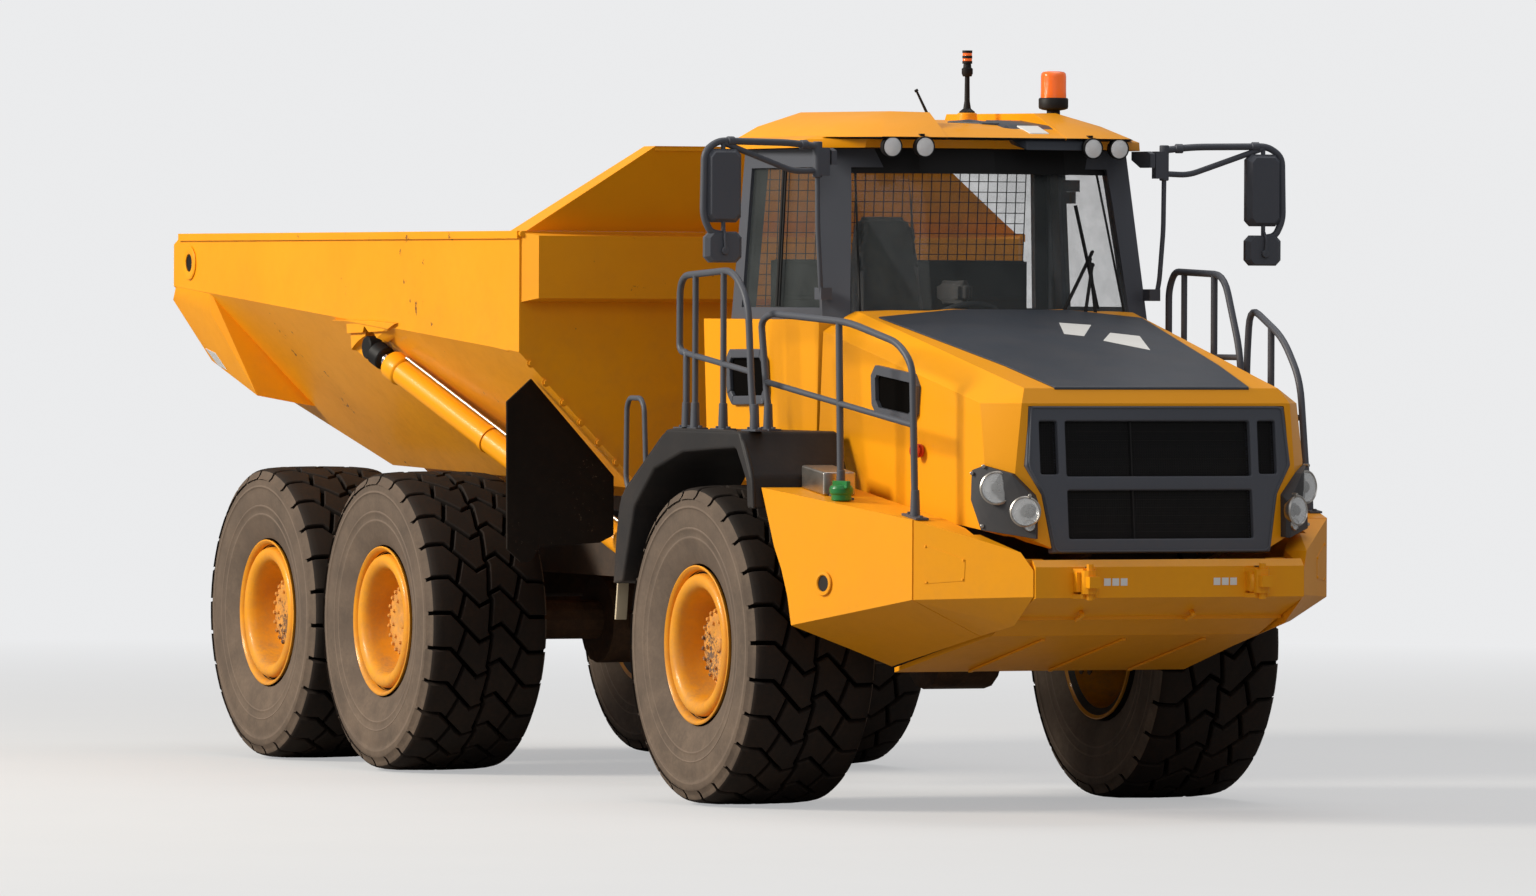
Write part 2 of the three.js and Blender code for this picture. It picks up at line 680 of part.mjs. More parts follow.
function tipBarrel() {
  const mouth = towards(tipBase, tipEye, barrelLength);
  const shell = rod(towards(tipBase, tipEye, 105), mouth, barrelRadius, 16);
  const gland = rod(towards(tipBase, tipEye, barrelLength - 90), mouth, barrelRadius + 10, 16);
  const neck = rod(tipBase, towards(tipBase, tipEye, 120), 44, 12);
  const [x, y, z] = tipBase;
  const eye = rod([x, y, z - tipEyeHalf], [x, y, z + tipEyeHalf], 66, 16);
  const bore = rod(towards(tipBase, tipEye, 180), towards(tipBase, tipEye, barrelLength + 10),
    tipRodRadius + pinPlay, 16);
  return cut(join(shell, gland, eye, neck), bore);
}

function tipRod() {
  const inside = towards(tipEye, tipBase, tipRodLength);
  const shaft = rod(inside, towards(tipEye, tipBase, 30), tipRodRadius, 16);
  const eye = rod([tipEye[0] - 18, tipEye[1] - 52, tipEye[2]], [tipEye[0] + 18, tipEye[1] + 30, tipEye[2]], 62, 16);
  return join(shaft, eye);
}

// ---- cab

// Lower cab body, its outside moved in by an inset.
function lowerCab(inset, top, floor) {
  const half = cabHalf - inset;
  return hull(pairs([
    [cabRear + inset, half - 20, floor + 215],
    [cabRear + inset, half, top],
    [cabRear + inset + 120, 740 - inset, floor],
    [cabRear + inset + 120, half - 40, floor + 150],
    [270 - inset, 740 - inset, floor],
    [280 - inset, half - 40, floor + 150],
    [350 - inset, half - 20, top],
    [590 - inset, 420 - inset, top],
    [300 - inset, 420 - inset, floor],
  ]));
}

// Upper cab frame, which leans in to the roof.
function upperCab(inset, extra) {
  const top = roofZ + extra - fit;
  const grow = 1 + extra / (roofZ - sillZ);
  const bottom = sillZ + fit - extra;
  const lean = (low, high) => [low + (low - high) * (grow - 1), high + (high - low) * (grow - 1)];
  const corners = [
    [-760, cabHalf - 35, -690, cabHalf - 78],
    [405, cabHalf - 140, 205, cabHalf - 205],
    [360, cabHalf - 35, 190, cabHalf - 78],
    [600, 420, 385, 390],
    [640, 60, 420, 60],
  ];
  const points = corners.flatMap(([xLow, yLow, xHigh, yHigh]) => {
    const [x0, x1] = lean(xLow, xHigh);
    const [y0, y1] = lean(yLow, yHigh);
    const inward = xLow < 0 ? inset : -inset;
    return [[x0 + inward, y0 - inset, bottom], [x1 + inward, y1 - inset, top]];
  });
  return hull(pairs(points.map(([x, y, z]) => [x, Math.max(y, 5), z])));
}

const paneGap = fit;
const windowTop = roofZ - 95;
const windowFoot = sillZ + 60;
const sideWindow = [[-640, windowFoot], [318, windowFoot], [200, windowTop], [-600, windowTop]];
const rearWindow = [[150 - cabHalf, windowFoot], [cabHalf - 150, windowFoot], [cabHalf - 190, windowTop],
  [190 - cabHalf, windowTop]];
const doorWindow = [[doorRear + 95, windowFoot + 10], [doorFront - 75, windowFoot + 10],
  [doorFront - 165, windowTop - 20], [doorRear + 95, windowTop - 20]];
const screenOutline = [[163 - cabHalf, sillZ + 35], [cabHalf - 163, sillZ + 35], [cabHalf - 228, windowTop],
  [228 - cabHalf, windowTop]];

function cabCutters() {
  const doorOutline = [
    [doorRear, doorFoot], [doorFront, doorFoot], [doorFront + 20, sillZ], [doorFront - 100, roofZ - 60],
    [doorRear, roofZ - 60],
  ];
  return {
    side: sideOutline(sideWindow, -1200, -500),
    rear: frontOutline(rearWindow, -1100, -500),
    screen: frontOutline(screenOutline, 100, 1000),
    door: sideOutline(doorOutline, 500, 1200),
    doorLeaf: sideOutline(
      [[doorRear + doorGap, doorFoot + doorGap], [doorFront - doorGap, doorFoot + doorGap],
        [doorFront + 20 - doorGap, sillZ], [doorFront - 100 - doorGap, roofZ - 60 - doorGap],
        [doorRear + doorGap, roofZ - 60 - doorGap]],
      500,
      1200,
    ),
    doorWindow: sideOutline(doorWindow, 500, 1200),
  };
}

const cabTools = cabCutters();
const upperOuter = upperCab(0, 0);
const upperInner = upperCab(frameSkin, 40);
const lowerOuter = lowerCab(0, sillZ, cabFloor);
const lowerInner = lowerCab(cabWall, sillZ + 50, cabFloor + cabWall);

function cabBase() {
  return cut(lowerOuter, lowerInner, cabTools.door);
}

function cabFrame() {
  return cut(upperOuter, upperInner, cabTools.side, cabTools.rear, cabTools.screen, cabTools.door);
}

// A pane that fills a window inside the frame's thickness.
function pane(outlineCutter, extra = []) {
  const skin = cut(upperCab(frameSkin * 0.35, 30), upperCab(frameSkin * 0.35 + 12, 60));
  return extra.reduce((solid, tool) => solid.intersect(tool), skin.intersect(outlineCutter));
}

function shrunk(outline, gap) {
  const midA = outline.reduce((sum, [a]) => sum + a, 0) / outline.length;
  const midB = outline.reduce((sum, [, b]) => sum + b, 0) / outline.length;
  return outline.map(([a, b]) => [a - Math.sign(a - midA) * gap, b - Math.sign(b - midB) * gap]);
}

const beaconPlace = [120, 487, roofZ + 178];
const stalkPlace = [-150, 130, roofZ + 192];

function cabRoof() {
  const outer = cabHalf - 220; // front corner of a pod
  const pods = [-1, 1].map((side) => hull([
    [600, 330, 35], [600, outer, 35], [600, 330, 26], [600, outer, 26], [200, cabHalf, fit], [150, cabHalf + 10, 70],
    [-860, cabHalf - 30, fit], [-860, cabHalf - 30, 80], [480, 380, 130], [380, outer, 125], [60, cabHalf - 140, 150],
    [-700, cabHalf - 140, 160], [-800, 300, 100], [-700, 280, 200], [300, 280, 170], [560, 300, 60], [-860, 250, fit],
    [560, 250, fit],
  ].map(([x, y, up]) => [x, side * y, roofZ + up])));
  const centre = hull(pairs([
    [470, 300, fit], [470, 300, 90], [300, 300, 155], [-700, 300, 190], [-850, 300, 80], [-850, 300, fit],
  ].map(([x, y, up]) => [x, y, roofZ + up])));
  const lamps = [-1, 1].flatMap((side) => [[563, 630], [600, 467]].map(([x, y]) =>
    rod([x - 20, side * y, roofZ + 6], [x + 32, side * y, roofZ + 6], 50, 16)));
  const bosses = [beaconPlace, stalkPlace].map(([x, y, z]) => rod([x, y, z - 60], [x, y, z], 84, 16));
  return join(...pods, centre, ...lamps, ...bosses);
}

function beacon() {
  const [x, y, top] = beaconPlace;
  const foot = top + fit;
  return join(
    rod([x, y, foot], [x, y, foot + 70], 78, 16),
    rod([x, y, foot + 60], [x, y, foot + 225], 66, 16, 60),
  );
}

function stalkLight() {
  const [x, y, top] = stalkPlace;
  const foot = top + fit;
  return join(rod([x, y, foot], [x, y, foot + 24], 40, 12), rod([x, y, foot + 20], [x, y, foot + 190], 13, 8),
    rod([x, y, foot + 180], [x, y, foot + 320], 30, 12));
}

const doorHinge = [doorRear, cabHalf + 16];
const lowHinge = 2050;
const highHinge = roofZ - 200;

// Half of a door hinge: the door's half stands on the cab's half.
function hingeHalf(z, onDoor) {
  const [x, y] = doorHinge;
  const low = onDoor ? z + pinPlay : z - 60;
  const high = low + 60;
  const inward = z > sillZ ? 105 : 45;
  const way = onDoor ? 1 : -1;
  const span = [x, x + way * 62].sort((a, b) => a - b);
  return join(rod([x, y, low], [x, y, high], 16, 12), box(span[0], span[1], y - inward, y + 10, low, high));
}

function cabDoor() {
  const lower = cut(lowerOuter, lowerInner).intersect(cabTools.doorLeaf);
  const upper = cut(upperOuter, upperInner).intersect(cabTools.doorLeaf);
  const seam = cabTools.doorLeaf.intersect(
    box(doorRear, doorFront + 60, cabHalf - 45, cabHalf - 35, sillZ - 40, sillZ + 40));
  const leaf = cut(join(lower, upper, seam), cabTools.doorWindow);
  return join(leaf, hingeHalf(lowHinge, true), hingeHalf(highHinge, true));
}

function operatorSeat() {
  const cushion = box(-420, 60, -250, 250, 2020, 2140);
  const back = hull([[-430, -240, 2120], [-430, 240, 2120], [-330, -240, 2120], [-330, 240, 2120], [-540, -220, 2760],
    [-540, 220, 2760], [-450, -220, 2760], [-450, 220, 2760]]);
  const head = box(-560, -470, -130, 130, 2740, 2930);
  const base = box(-330, -30, -180, 180, cabFloor + cabWall + fit, 2030);
  return join(cushion, back, head, base);
}

function dashConsole() {
  const desk = hull(pairs([[200, 640, 2080], [270, 640, 2340], [420, 380, 2340], [330, 380, 2080], [160, 640, 2200]]));
  const pedestal = box(90, 230, -110, 110, cabFloor + cabWall + fit, 2200);
  const column = rod([250, 0, 2150], [60, 0, 2390], 34, 10);
  const ring = new THREE.TorusGeometry(205, 17, 6, 18);
  ring.rotateY(Math.PI / 2 + 0.95);
  ring.translate(60, 0, 2400);
  const spoke = rod([60, -195, 2400], [60, 195, 2400], 15, 6);
  const hub = rod([80, 0, 2375], [50, 0, 2415], 40, 10);
  return join(desk, pedestal, column, toSolid(ring), spoke, hub);
}

// ---- hood

function hoodOutside(inset, drop) {
  return hull(pairs([
    [2386 - inset, 560 - inset, 1325 - drop],
    [2300 - inset, 786 - inset, 1425 - drop],
    [2150 - inset, 868 - inset, 1425 - drop],
    [2318 - inset, 722 - inset, 1743],
    [2311 - inset, 728 - inset, 2042 - inset],
    [2256 - inset, 690 - inset, 2115 - inset],
    [2180 - inset, 866 - inset, 1760],
    [2120 - inset, 862 - inset, 2040 - inset],
    [480, cabHalf - 175 - inset, 2482 - inset],
    [300 - drop, cabHalf - 35 - inset, 2395 - inset],
    [300 - drop, cabHalf - 35 - inset, 1650 - drop],
    [1500, cabHalf - 55 - inset, 1480 - drop],
    [300 - drop, cabHalf - 175 - inset, 2482 - inset],
    [600, 300, 2500 - inset],
  ]));
}

const grilleFace = [[-694, 2033], [-719, 1743], [-640, 1600], [-590, 1316], [590, 1316], [640, 1600], [719, 1743],
  [694, 2033]];

// Leans a piece built upright at x = 0 so that it follows the hood's face.
function onFace(solid) {
  const geometry = toGeometry(solid);
  geometry.translate(0, 0, -1316);
  geometry.rotateY(-0.1);
  geometry.translate(2392, 0, 1316);
  return toSolid(geometry);
}

function grille() {
  const frame = frontOutline(shrunk(grilleFace, 1), -70, -4);
  const window = (y0, y1, z0, z1) => frontOutline([[y0, z0], [y1, z0], [y1, z1], [y0, z1]], -54, 40);
  const windows = [
    window(-500, 500, 1690, 1960), window(-500, 500, 1385, 1622), window(545, 640, 1700, 1960),
    window(-640, -545, 1700, 1960),
  ];
  const ears = [-1, 1].map((side) => {
    const y0 = side > 0 ? 370 + pinPlay : -410;
    return box(hoodHingeX - 24, hoodHingeX + 60, y0, y0 + 40 - pinPlay, hoodHingeZ - 16, hoodHingeZ + 24);
  });
  return join(onFace(cut(frame, ...windows)), ...ears);
}

const podFace = [[2120, 905, 1715], [2110, 905, 1570], [2195, 890, 1425], [2400, 690, 1385], [2400, 690, 1570],
  [2330, 790, 1700], [2200, 880, 1738]];

function lampPod(side, grow) {
  const middle = [2265, 815, 1560];
  const corners = podFace.flatMap((front) => [front, [front[0] - 63, front[1] - 65, front[2]]]);
  const limit = [[2000, 990], [2250, 872], [2432, 684], [2300, 655], [1950, 655]].flatMap(([x, y]) =>
    [[x, y, 1200], [x, y, 1800]]);
  const solid = hull(corners).intersect(hull(limit));
  const geometry = toGeometry(solid);
  const share = 1 + grow / 60;
  geometry.translate(-middle[0], -middle[1], -middle[2]);
  geometry.scale(share, share, share);
  geometry.translate(...middle);
  const pod = toSolid(geometry);
  return side > 0 ? pod : mirrored(pod);
}

function hood() {
  const shell = cut(hoodOutside(0, 0), hoodOutside(hoodWall, 90));
  const opening = onFace(frontOutline(grilleFace, -260, 60));
  const cowl = upperCab(-14, 30);
  const lower = lowerCab(-14, sillZ + 60, cabFloor - 200);
  return cut(shell, opening, cowl, lower, lampPod(1, 0.3), lampPod(-1, 0.3));
}

// ---- front bumper, mudguards and rails

// Height of the underside of the bumper's nose, ahead of the belly plate.
function bellyZ(x) {
  return bellyFrontZ + ((x - bellyFrontX) * (bumperCreaseZ - bellyFrontZ)) / (bumperCreaseX - bellyFrontX);
}

function frontBumper() {
  const nose = sideOutline(
    [[2215, 1215], [2330, 1215], [2440, 1284], [2474, 1250], [bumperCreaseX, bumperCreaseZ],
      [bellyFrontX, bellyFrontZ], [bellyFrontX, bellyFrontZ + bellySkin], [2160, bellyZ(2160) + bellySkin],
      [2215, 1080]],
    -bumperHalf,
    bumperHalf,
  );
  const belly = hull(pairs([
    [bellyRearX, 800, bellyRearZ], [bellyRearX, 800, bellyRearZ + bellySkin],
    [bellyFrontX + 2, bumperHalf, bellyFrontZ], [bellyFrontX + 2, bumperHalf, bellyFrontZ + bellySkin],
  ]));
  const back = box(railFront + fit, 2230, -bumperHalf, bumperHalf, bellyZ(2160) + bellySkin - 12, 1215);
  const hooks = [-1, 1].map((side) => join(
    box(2440, 2520, side * hookY - 60, side * hookY + 60, 1130, 1225),
    rod([2530, side * hookY, 1120], [2530, side * hookY, 1235], 40, 12),
    rod([2540, side * hookY, 1090], [2540, side * hookY, 1265], 18, 8),
  ));
  const tips = [-1, 1].map((side) => box(2540, frontReach, side * hookY - 30, side * hookY + 30, 1150, 1205));
  return join(nose, belly, back, ...hooks, ...tips);
}

function bumperSide(side) {
  const flank = hull([
    [ledgeRearX, ledgeRearHalf, ledgeRearZ], [ledgeRearX, 950, ledgeRearZ], [ledgeFrontX, ledgeFrontHalf, ledgeFrontZ],
    [ledgeFrontX, 950, ledgeFrontZ], [1045, 1379, 933], [948, 1406, 1277], [ledgeFrontX, ledgeFrontHalf, 1080],
    [1980, 757, 910], [1003, 835, 716], [1003, 950, 1000], [ledgeRearX, 950, 1277],
  ]);
  const noseHalf = bumperHalf + 6;
  const corner = hull([
    [ledgeFrontX, ledgeFrontHalf, ledgeFrontZ], [ledgeFrontX, ledgeFrontHalf, 1080], [1980, 757, 910],
    [2407, 776, 1320], [2463, noseHalf, 1235], [2464, noseHalf, 1106], [ledgeFrontX, 950, ledgeFrontZ],
    [2250, noseHalf, 1320], [2250, noseHalf, 960], [ledgeFrontX, 950, 1100],
  ]);
  const arch = rod([0, 300, wheelZ], [0, 1700, wheelZ], 1052, 48);
  const lobe = box(1000, 1500, 905, 960, 1180, 1260);
  const whole = cut(join(flank, corner, lobe), arch);
  const trimmed = cut(
    whole,
    box(2143, 2700, -200, bumperHalf + fit, 500, 2000),
    box(700, 1900, -200, bumperInner, 1000, 2000),
    box(1899, 2146, -200, bumperInner, 1130, 2000),
    box(700, 2146, -200, 742, 500, 1000),
  );
  return side > 0 ? trimmed : mirrored(trimmed);
}

function fender(side) {
  const outline = [
    [-793, 1102], [-650, 1484], [-400, 1680], [-52, 1769], [350, 1790], [610, 1800], [738, 1640], [752, 1503],
    [809, 1503], [796, 1663], [654, fenderTop], [-245, fenderTop], [-822, 1539], [-869, 1343], [-903, 1089],
  ];
  const [y0, y1] = [side * fenderInner, side * fenderHalf].sort((a, b) => a - b);
  return sideOutline(outline, y0, y1);
}

// Height of the bumper side's sloping top.
function ledgeZ(x) {
  return ledgeRearZ - ((x - ledgeRearX) * (ledgeRearZ - ledgeFrontZ)) / (ledgeFrontX - ledgeRearX);
}

// A rail's foot plate on the bumper side's top.
function ledgeFoot(x, y) {
  const edges = [-35, 35];
  return hull(edges.flatMap((dx) => edges.flatMap((dy) =>
    [fit, legLift + 3].map((up) => [x + dx, y + dy, ledgeZ(x + dx) + up]))));
}

// A rail's straight post, from its foot plate up to the top tube.
function ledgePost(x, y, top, topX = x) {
  return join(rod([x, y, ledgeZ(x) + legLift], [topX, y, top], railRadius, 6), ledgeFoot(x, y));
}

function fenderRailRight() {
  const y = -1400;
  const foot = fenderTop + fit;
  const hoop = tube([
    [-200, y, foot], [-200, y, 2273], [-257, y, 2273], [-286, y, 2300], [-286, y, 2656], [370, y, 2686], [555, y, 2537],
    [600, y, 2100], [640, y, foot + 60], [640, y, foot],
  ]);
  const posts = [[-91, 2670], [256, 2680]].map(([x, top]) => rod([x, y, foot], [x, y, top], railRadius, 6));
  const middle = rod([-257, y, 2273], [600, y, 2180], railRadius, 6);
  return join(hoop, ...posts, middle);
}

// The left rail stands by the hood, clear of the swinging door.
function fenderRailLeft() {
  const y = cabHalf + 75;
  const foot = fenderTop + fit;
  const hoop = tube([
    [385, y, foot], [385, y, 2600], [450, y, 2690], [1010, y, 2674], [1195, y, 2280], [1240, y, ledgeZ(1240) + legLift],
  ]);
  const posts = [rod([560, y, foot], [560, y, 2685], railRadius, 6), ledgePost(900, y, 2675)];
  const middle = rod([385, y, 2260], [1190, y, 2260], railRadius, 6);
  return join(hoop, ...posts, middle, ledgeFoot(1240, y));
}

// The long rail that follows the tapering bumper side.
function frontRailRight() {
  const at = (x, z) => [x, -1250 + (x - 600) * 0.13, z];
  const hoop = tube([
    [500, -1263, fenderTop + fit], [500, -1263, 1990], [430, -1272, 2430], [520, -1260, 2470], at(1240, 2430),
    at(1700, 2330), at(1830, 2224), [1857, -1085, ledgeZ(1857) + legLift],
  ]);
  const middle = rod([475, -1266, 2130], at(1838, 1930), railRadius, 6);
  return join(hoop, ledgePost(1180, at(1180, 0)[1], 2435, 1150), middle, ledgeFoot(1857, -1085));
}

// The short rail ahead of the fender rail.
function frontRailLeft() {
  const y = 1150;
  const hoop = tube([
    [1000, y, ledgeZ(1000) + legLift], [1000, y, 2236], [1033, y, 2518], [1401, y, 2359], [1591, y, 2151],
    [1690, y, ledgeZ(1690) + legLift],
  ]);
  const middle = rod([1000, y, 2000], [1620, y, 1960], railRadius, 6);
  return join(hoop, ledgePost(1270, y, 2410), middle, ledgeFoot(1000, y), ledgeFoot(1690, y));
}

// Four treads between two plates, hung behind the left front wheel.
function accessLadder() {
  const half = ladderWidth / 2;
  const plates = [ladderX - half, ladderX + half - 12].map((x) =>
    box(x, x + 12, ladderInner, ladderInner + ladderDepth, 440, 1330));
  const treads = [455, 725, 995, 1265].map((z) =>
    box(ladderX - half, ladderX + half, ladderInner, ladderInner + ladderDepth, z, z + 30));
  const back = box(ladderX - half, ladderX + half, ladderInner, ladderInner + 12, 1120, 1290);
  return join(...plates, ...treads, back);
}

function mirror(side) {
  const y = side * mirrorY;
  const post = side * (cabHalf + 21);
  const outer = side * (mirrorY + 118);
  const bend = side * (mirrorY + 58);
  const arm = tube([[300, side * (cabHalf - 140), roofZ - 30], [420, post, roofZ - 10], [430, side * 1180, roofZ + 30],
    [470, bend, roofZ + 30], [472, outer, roofZ - 20], [472, outer, roofZ - 400], [472, bend, roofZ - 440],
    [472, y, roofZ - 440]], 17, 60);
  const stay = rod([420, post, roofZ - 10], [470, side * (mirrorY - 22), roofZ - 100], 14, 8);
  const [clamp0, clamp1] = [side * (cabHalf - 70), side * (cabHalf + 35)].sort((a, b) => a - b);
  const clamp = box(216, 440, clamp0, clamp1, roofZ - 75, roofZ);
  const head = box(430, 500, y - 95, y + 95, roofZ - 380, roofZ - 10);
  const small = box(440, 495, y - 85, y + 85, roofZ - 580, roofZ - 430);
  const neck = rod([472, y, roofZ - 440], [472, y, roofZ - 370], 14, 8);
  const [lug0, lug1] = [bend, side * (mirrorY + 133)].sort((a, b) => a - b);
  const lug = box(450, 494, lug0, lug1, roofZ - 220, roofZ - 180);
  const foot = tube([[330, side * (cabHalf - 12), sillZ + 120], [400, side * cabHalf, sillZ + 200],
    [420, post, roofZ - 400], [420, post, roofZ - 40]], 14, 60);
  return join(arm, stay, clamp, head, small, neck, lug, foot);
}

// ---- the truck

const truck = new THREE.Group();
truck.name = "articulated_dump_truck";
truck.position.x = lift;

function add(name, solid, finish) {
  const geometry = toGeometry(solid);
  const mesh = new THREE.Mesh(geometry, new THREE.MeshStandardMaterial(finish));
  mesh.name = name;
  truck.add(mesh);
}

const sides = [["left", 1], ["right", -1]];

add("front_frame", frontFrame(), chassis);
add("front_axle", frontAxle(), chassis);
add("engine_block", engineBlock(), chassis);
add("cab_base", join(cabBase(), hingeHalf(lowHinge, false)), paint);
add("cab_frame", join(cabFrame(), hingeHalf(highHinge, false)), charcoal);
add("windscreen", pane(frontOutline(shrunk(screenOutline, paneGap), 100, 1000)), glass);
add("rear_window", pane(frontOutline(shrunk(rearWindow, paneGap), -1100, -500)), glass);
add("side_window", pane(sideOutline(shrunk(sideWindow, paneGap), -1200, -500)), glass);
add("door_window", pane(sideOutline(shrunk(doorWindow, paneGap), 500, 1200)), glass);
add("cab_roof", cabRoof(), paint);
add("beacon", beacon(), paint);
add("stalk_light", stalkLight(), plastic);
add("operator_seat", operatorSeat(), cloth);
add("dash_console", dashConsole(), plastic);
add("cab_door", cabDoor(), charcoal);
add("hood", hood(), paint);
add("grille", grille(), charcoal);
add("front_bumper", frontBumper(), paint);
for (const [name, side] of sides) {
  add("headlamp_" + name, lampPod(side, 0), charcoal);
  add("bumper_side_" + name, bumperSide(side), paint);
  add("fender_" + name, fender(side), plastic);
  add("fender_rail_" + name, side > 0 ? fenderRailLeft() : fenderRailRight(), charcoal);
  add("front_rail_" + name, side > 0 ? frontRailLeft() : frontRailRight(), charcoal);
  add("mirror_" + name, mirror(side), plastic);
}
add("access_ladder", accessLadder(), charcoal);
add("hitch", hitch(), chassis);
add("rear_frame", rearFrame(), paint);
add("middle_axle", axle(middleAxleX, []), chassis);
add("rear_axle", axle(rearAxleX, []), chassis);
add("tipping_body", tippingBody(), paint);
add("body_guard", bodyGuard(), paint);
for (const [name, side] of sides) {
  add("walking_beam_" + name, walkingBeam(side), chassis);
  add("mud_flap_" + name, mudFlap(side), rubber);
  add("tip_barrel_" + name, side > 0 ? tipBarrel() : mirrored(tipBarrel()), paint);
  add("tip_rod_" + name, side > 0 ? tipRod() : mirrored(tipRod()), chrome);
}
for (const [place, x] of [["front", 0], ["middle", middleAxleX], ["rear", rearAxleX]]) {
  for (const [name, side] of sides) {
    add(place + "_tyre_" + name, tyre(x, side), rubber);
    add(place + "_rim_" + name, rim(x, side), paint);
  }
}

export default truck;
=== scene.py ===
"""Looks of a six-wheel articulated dump truck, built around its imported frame.

Lengths are metres, with +X forward, +Y to the truck's left and +Z up. Places along the truck
are written from the front axle, which stands at FRONT_AXLE in the frame.
"""

import json
import logging
import math
from collections.abc import Callable, Iterable, Sequence
from dataclasses import dataclass, field
from enum import Enum

import bmesh
import bpy
from bmesh.types import BMesh, BMFace
from bpy.types import Material, Mesh, Node, NodeInputs, NodeOutputs, NodeSocket, NodeTree, Object
from mathutils import Matrix, Vector
from mathutils.bvhtree import BVHTree


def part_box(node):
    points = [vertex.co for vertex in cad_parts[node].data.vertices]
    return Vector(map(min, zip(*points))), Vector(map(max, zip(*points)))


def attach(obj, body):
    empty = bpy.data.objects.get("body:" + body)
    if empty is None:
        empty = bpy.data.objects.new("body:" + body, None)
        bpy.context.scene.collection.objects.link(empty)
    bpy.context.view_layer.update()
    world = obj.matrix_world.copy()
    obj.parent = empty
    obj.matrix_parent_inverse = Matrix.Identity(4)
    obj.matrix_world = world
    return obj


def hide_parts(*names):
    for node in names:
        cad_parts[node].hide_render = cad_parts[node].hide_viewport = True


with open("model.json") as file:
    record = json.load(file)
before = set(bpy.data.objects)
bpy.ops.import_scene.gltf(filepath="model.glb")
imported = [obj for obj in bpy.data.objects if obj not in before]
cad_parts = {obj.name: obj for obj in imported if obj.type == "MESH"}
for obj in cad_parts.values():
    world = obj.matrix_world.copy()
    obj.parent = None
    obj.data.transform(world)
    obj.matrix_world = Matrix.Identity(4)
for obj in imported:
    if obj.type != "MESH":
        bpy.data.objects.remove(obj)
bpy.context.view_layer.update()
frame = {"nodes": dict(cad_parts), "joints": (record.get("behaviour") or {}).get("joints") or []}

LOG = logging.getLogger("dump_truck")
FRONT_AXLE = 2.325
SIDES = {"left": 1, "right": -1}
SHARP_ANGLE = math.radians(38)

Point = tuple[float, float, float]
Outline = Sequence[tuple[float, float]]
Colour = tuple[float, float, float]


def place(point: Sequence[float]) -> Vector:
    """A point measured from the front axle, in the frame."""
    return Vector((point[0] + FRONT_AXLE, point[1], point[2]))


def shown(piece: Object) -> None:
    """Puts an object in the scene."""
    bpy.context.scene.collection.objects.link(piece)


def poured(made: BMesh, name: str = "scratch") -> Mesh:
    """A mesh with what is in a making, which is freed."""
    mesh = bpy.data.meshes.new(name)
    made.to_mesh(mesh)
    made.free()
    return mesh


def sided(points: Iterable[Sequence[float]], side: int) -> list[Point]:
    """Points of the left side, put on the given side."""
    return [(x, side * y, z) for x, y, z in points]


class Plane(Enum):
    """The plane that a flat outline is drawn in."""

    SIDE = "xz"
    FRONT = "yz"
    TOP = "xy"

    def lay(self, a: float, b: float, depth: float) -> Point:
        """A point of an outline at a depth, as a place from the front axle."""
        return {"xz": (a, depth, b), "yz": (depth, a, b), "xy": (a, b, depth)}[self.value]


